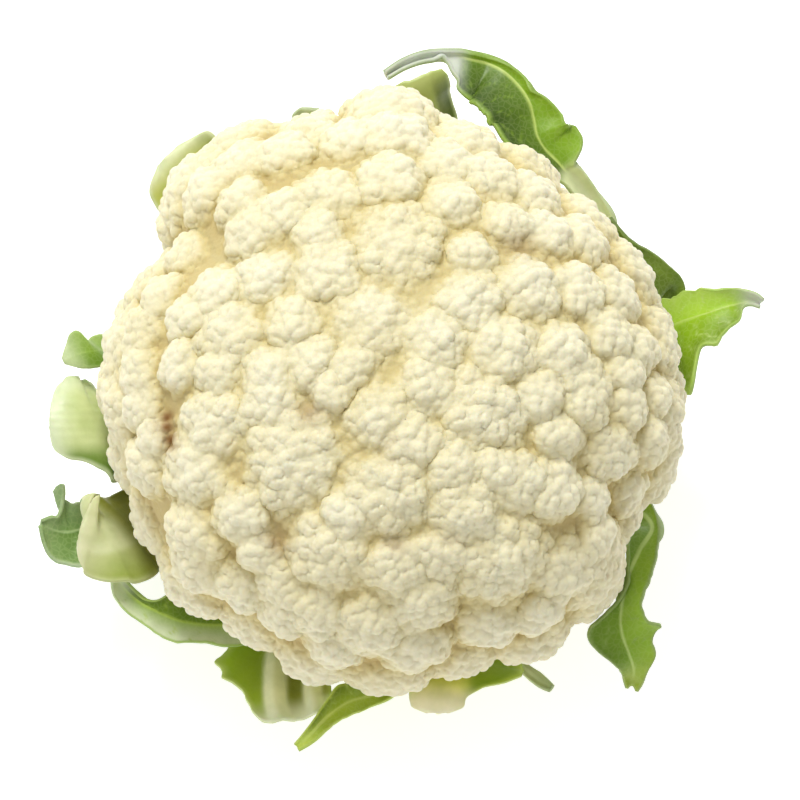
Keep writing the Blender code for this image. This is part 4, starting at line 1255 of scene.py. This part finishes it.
def stem_material():
    """A pale green stalk with a moist cream cut face."""
    shader = Shader("stem_tissue")
    side = shader.mixed(shader.scaled(shader.noise(120, 4.0), 0.35, 0.65),
                        linear((186, 200, 130)), linear((214, 222, 168)))
    face = shader.mixed(shader.scaled(shader.noise(260, 4.0), 0.4, 0.6),
                        linear((232, 228, 196)), linear((240, 238, 214)))
    colour = shader.mixed(shader.attribute("cut"), side, face)
    shader.join(colour, shader.main.inputs["Base Color"])
    normal = shader.bumped(shader.noise(700, 3.0), 0.0002, 0.5)
    shader.join(normal, shader.main.inputs["Normal"])
    shader.main.inputs["Roughness"].default_value = 0.48
    shader.main.inputs["Subsurface Weight"].default_value = 0.2
    shader.main.inputs["Subsurface Radius"].default_value = (1.0, 0.9, 0.4)
    shader.main.inputs["Subsurface Scale"].default_value = 0.0015
    return shader.material


def make_floor():
    """A plain pale floor."""
    corners = [(across * FLOOR_REACH, along * FLOOR_REACH, 0)
               for across, along in ((-1, -1), (1, -1), (1, 1), (-1, 1))]
    floor = mesh_object("floor", corners, [(0, 1, 2, 3)])
    shader = Shader("floor_paint")
    shader.main.inputs["Base Color"].default_value = (*linear((250, 250, 250)), 1)
    shader.main.inputs["Roughness"].default_value = 0.9
    shader.main.inputs["Emission Color"].default_value = (1, 1, 1, 1)
    shader.main.inputs["Emission Strength"].default_value = FLOOR_GLOW
    floor.data.materials.append(shader.material)


def soft_light(name, azimuth, elevation, energy):
    """A broad disk of light that looks at the head from afar."""
    light = bpy.data.lights.new(name, "AREA")
    light.shape = "DISK"
    light.size = LIGHT_SIZE
    light.energy = energy
    made = bpy.data.objects.new(name, light)
    away = np.array([math.cos(azimuth) * math.cos(elevation), math.sin(azimuth) * math.cos(elevation),
                     math.sin(elevation)])
    side = np.cross([0.0, 0.0, 1.0], away)
    side /= np.linalg.norm(side)
    place = Matrix(np.column_stack([side, np.cross(away, side), away]).tolist()).to_4x4()
    place.translation = MIDDLE + away * LIGHT_DISTANCE
    made.matrix_world = place
    bpy.context.scene.collection.objects.link(made)


def make_lights():
    """Soft daylight all round, a key from the photograph's upper edge and a fill from its lower."""
    world = bpy.data.worlds.new("studio")
    world.use_nodes = True
    sky = world.node_tree.nodes["Background"]
    sky.inputs["Color"].default_value = (1, 1, 1, 1)
    sky.inputs["Strength"].default_value = SKY_STRENGTH
    bpy.context.scene.world = world
    for name, azimuth, elevation, watts in LAMPS:
        soft_light(name, math.radians(azimuth), math.radians(elevation), watts)


def make_camera():
    """The photograph's camera."""
    right, up, back = camera_axes()
    data = bpy.data.cameras.new("camera")
    data.sensor_width = SENSOR_WIDTH_MM
    data.lens = SENSOR_WIDTH_MM * VIEW_DISTANCE / (PICTURE_PX * PIXEL)
    camera = bpy.data.objects.new("camera", data)
    off_right = (PICTURE_PX / 2 - CURD_CENTRE_PX[0]) * PIXEL
    off_up = (CURD_CENTRE_PX[1] - PICTURE_PX / 2) * PIXEL
    place = Matrix(np.column_stack([right, up, back]).tolist()).to_4x4()
    place.translation = MIDDLE + right * off_right + up * off_up + back * VIEW_DISTANCE
    camera.matrix_world = place
    bpy.context.scene.collection.objects.link(camera)
    bpy.context.scene.camera = camera


def main():
    """The head, its floor, lights and camera."""
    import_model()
    bpy.context.scene.view_settings.view_transform = "Standard"
    make_camera()
    make_lights()
    make_floor()
    florets, lumps = make_curd(curd_material())
    make_stem(stem_material())
    table = reach_table(florets, lumps)
    surfaces = {slot: leaf_material(slot + "_skin", *skin) for slot, skin in LEAF_SKINS.items()}
    for name, shape in LEAVES.items():
        make_leaf(name, shape, table, surfaces[shape["slot"]])


main()
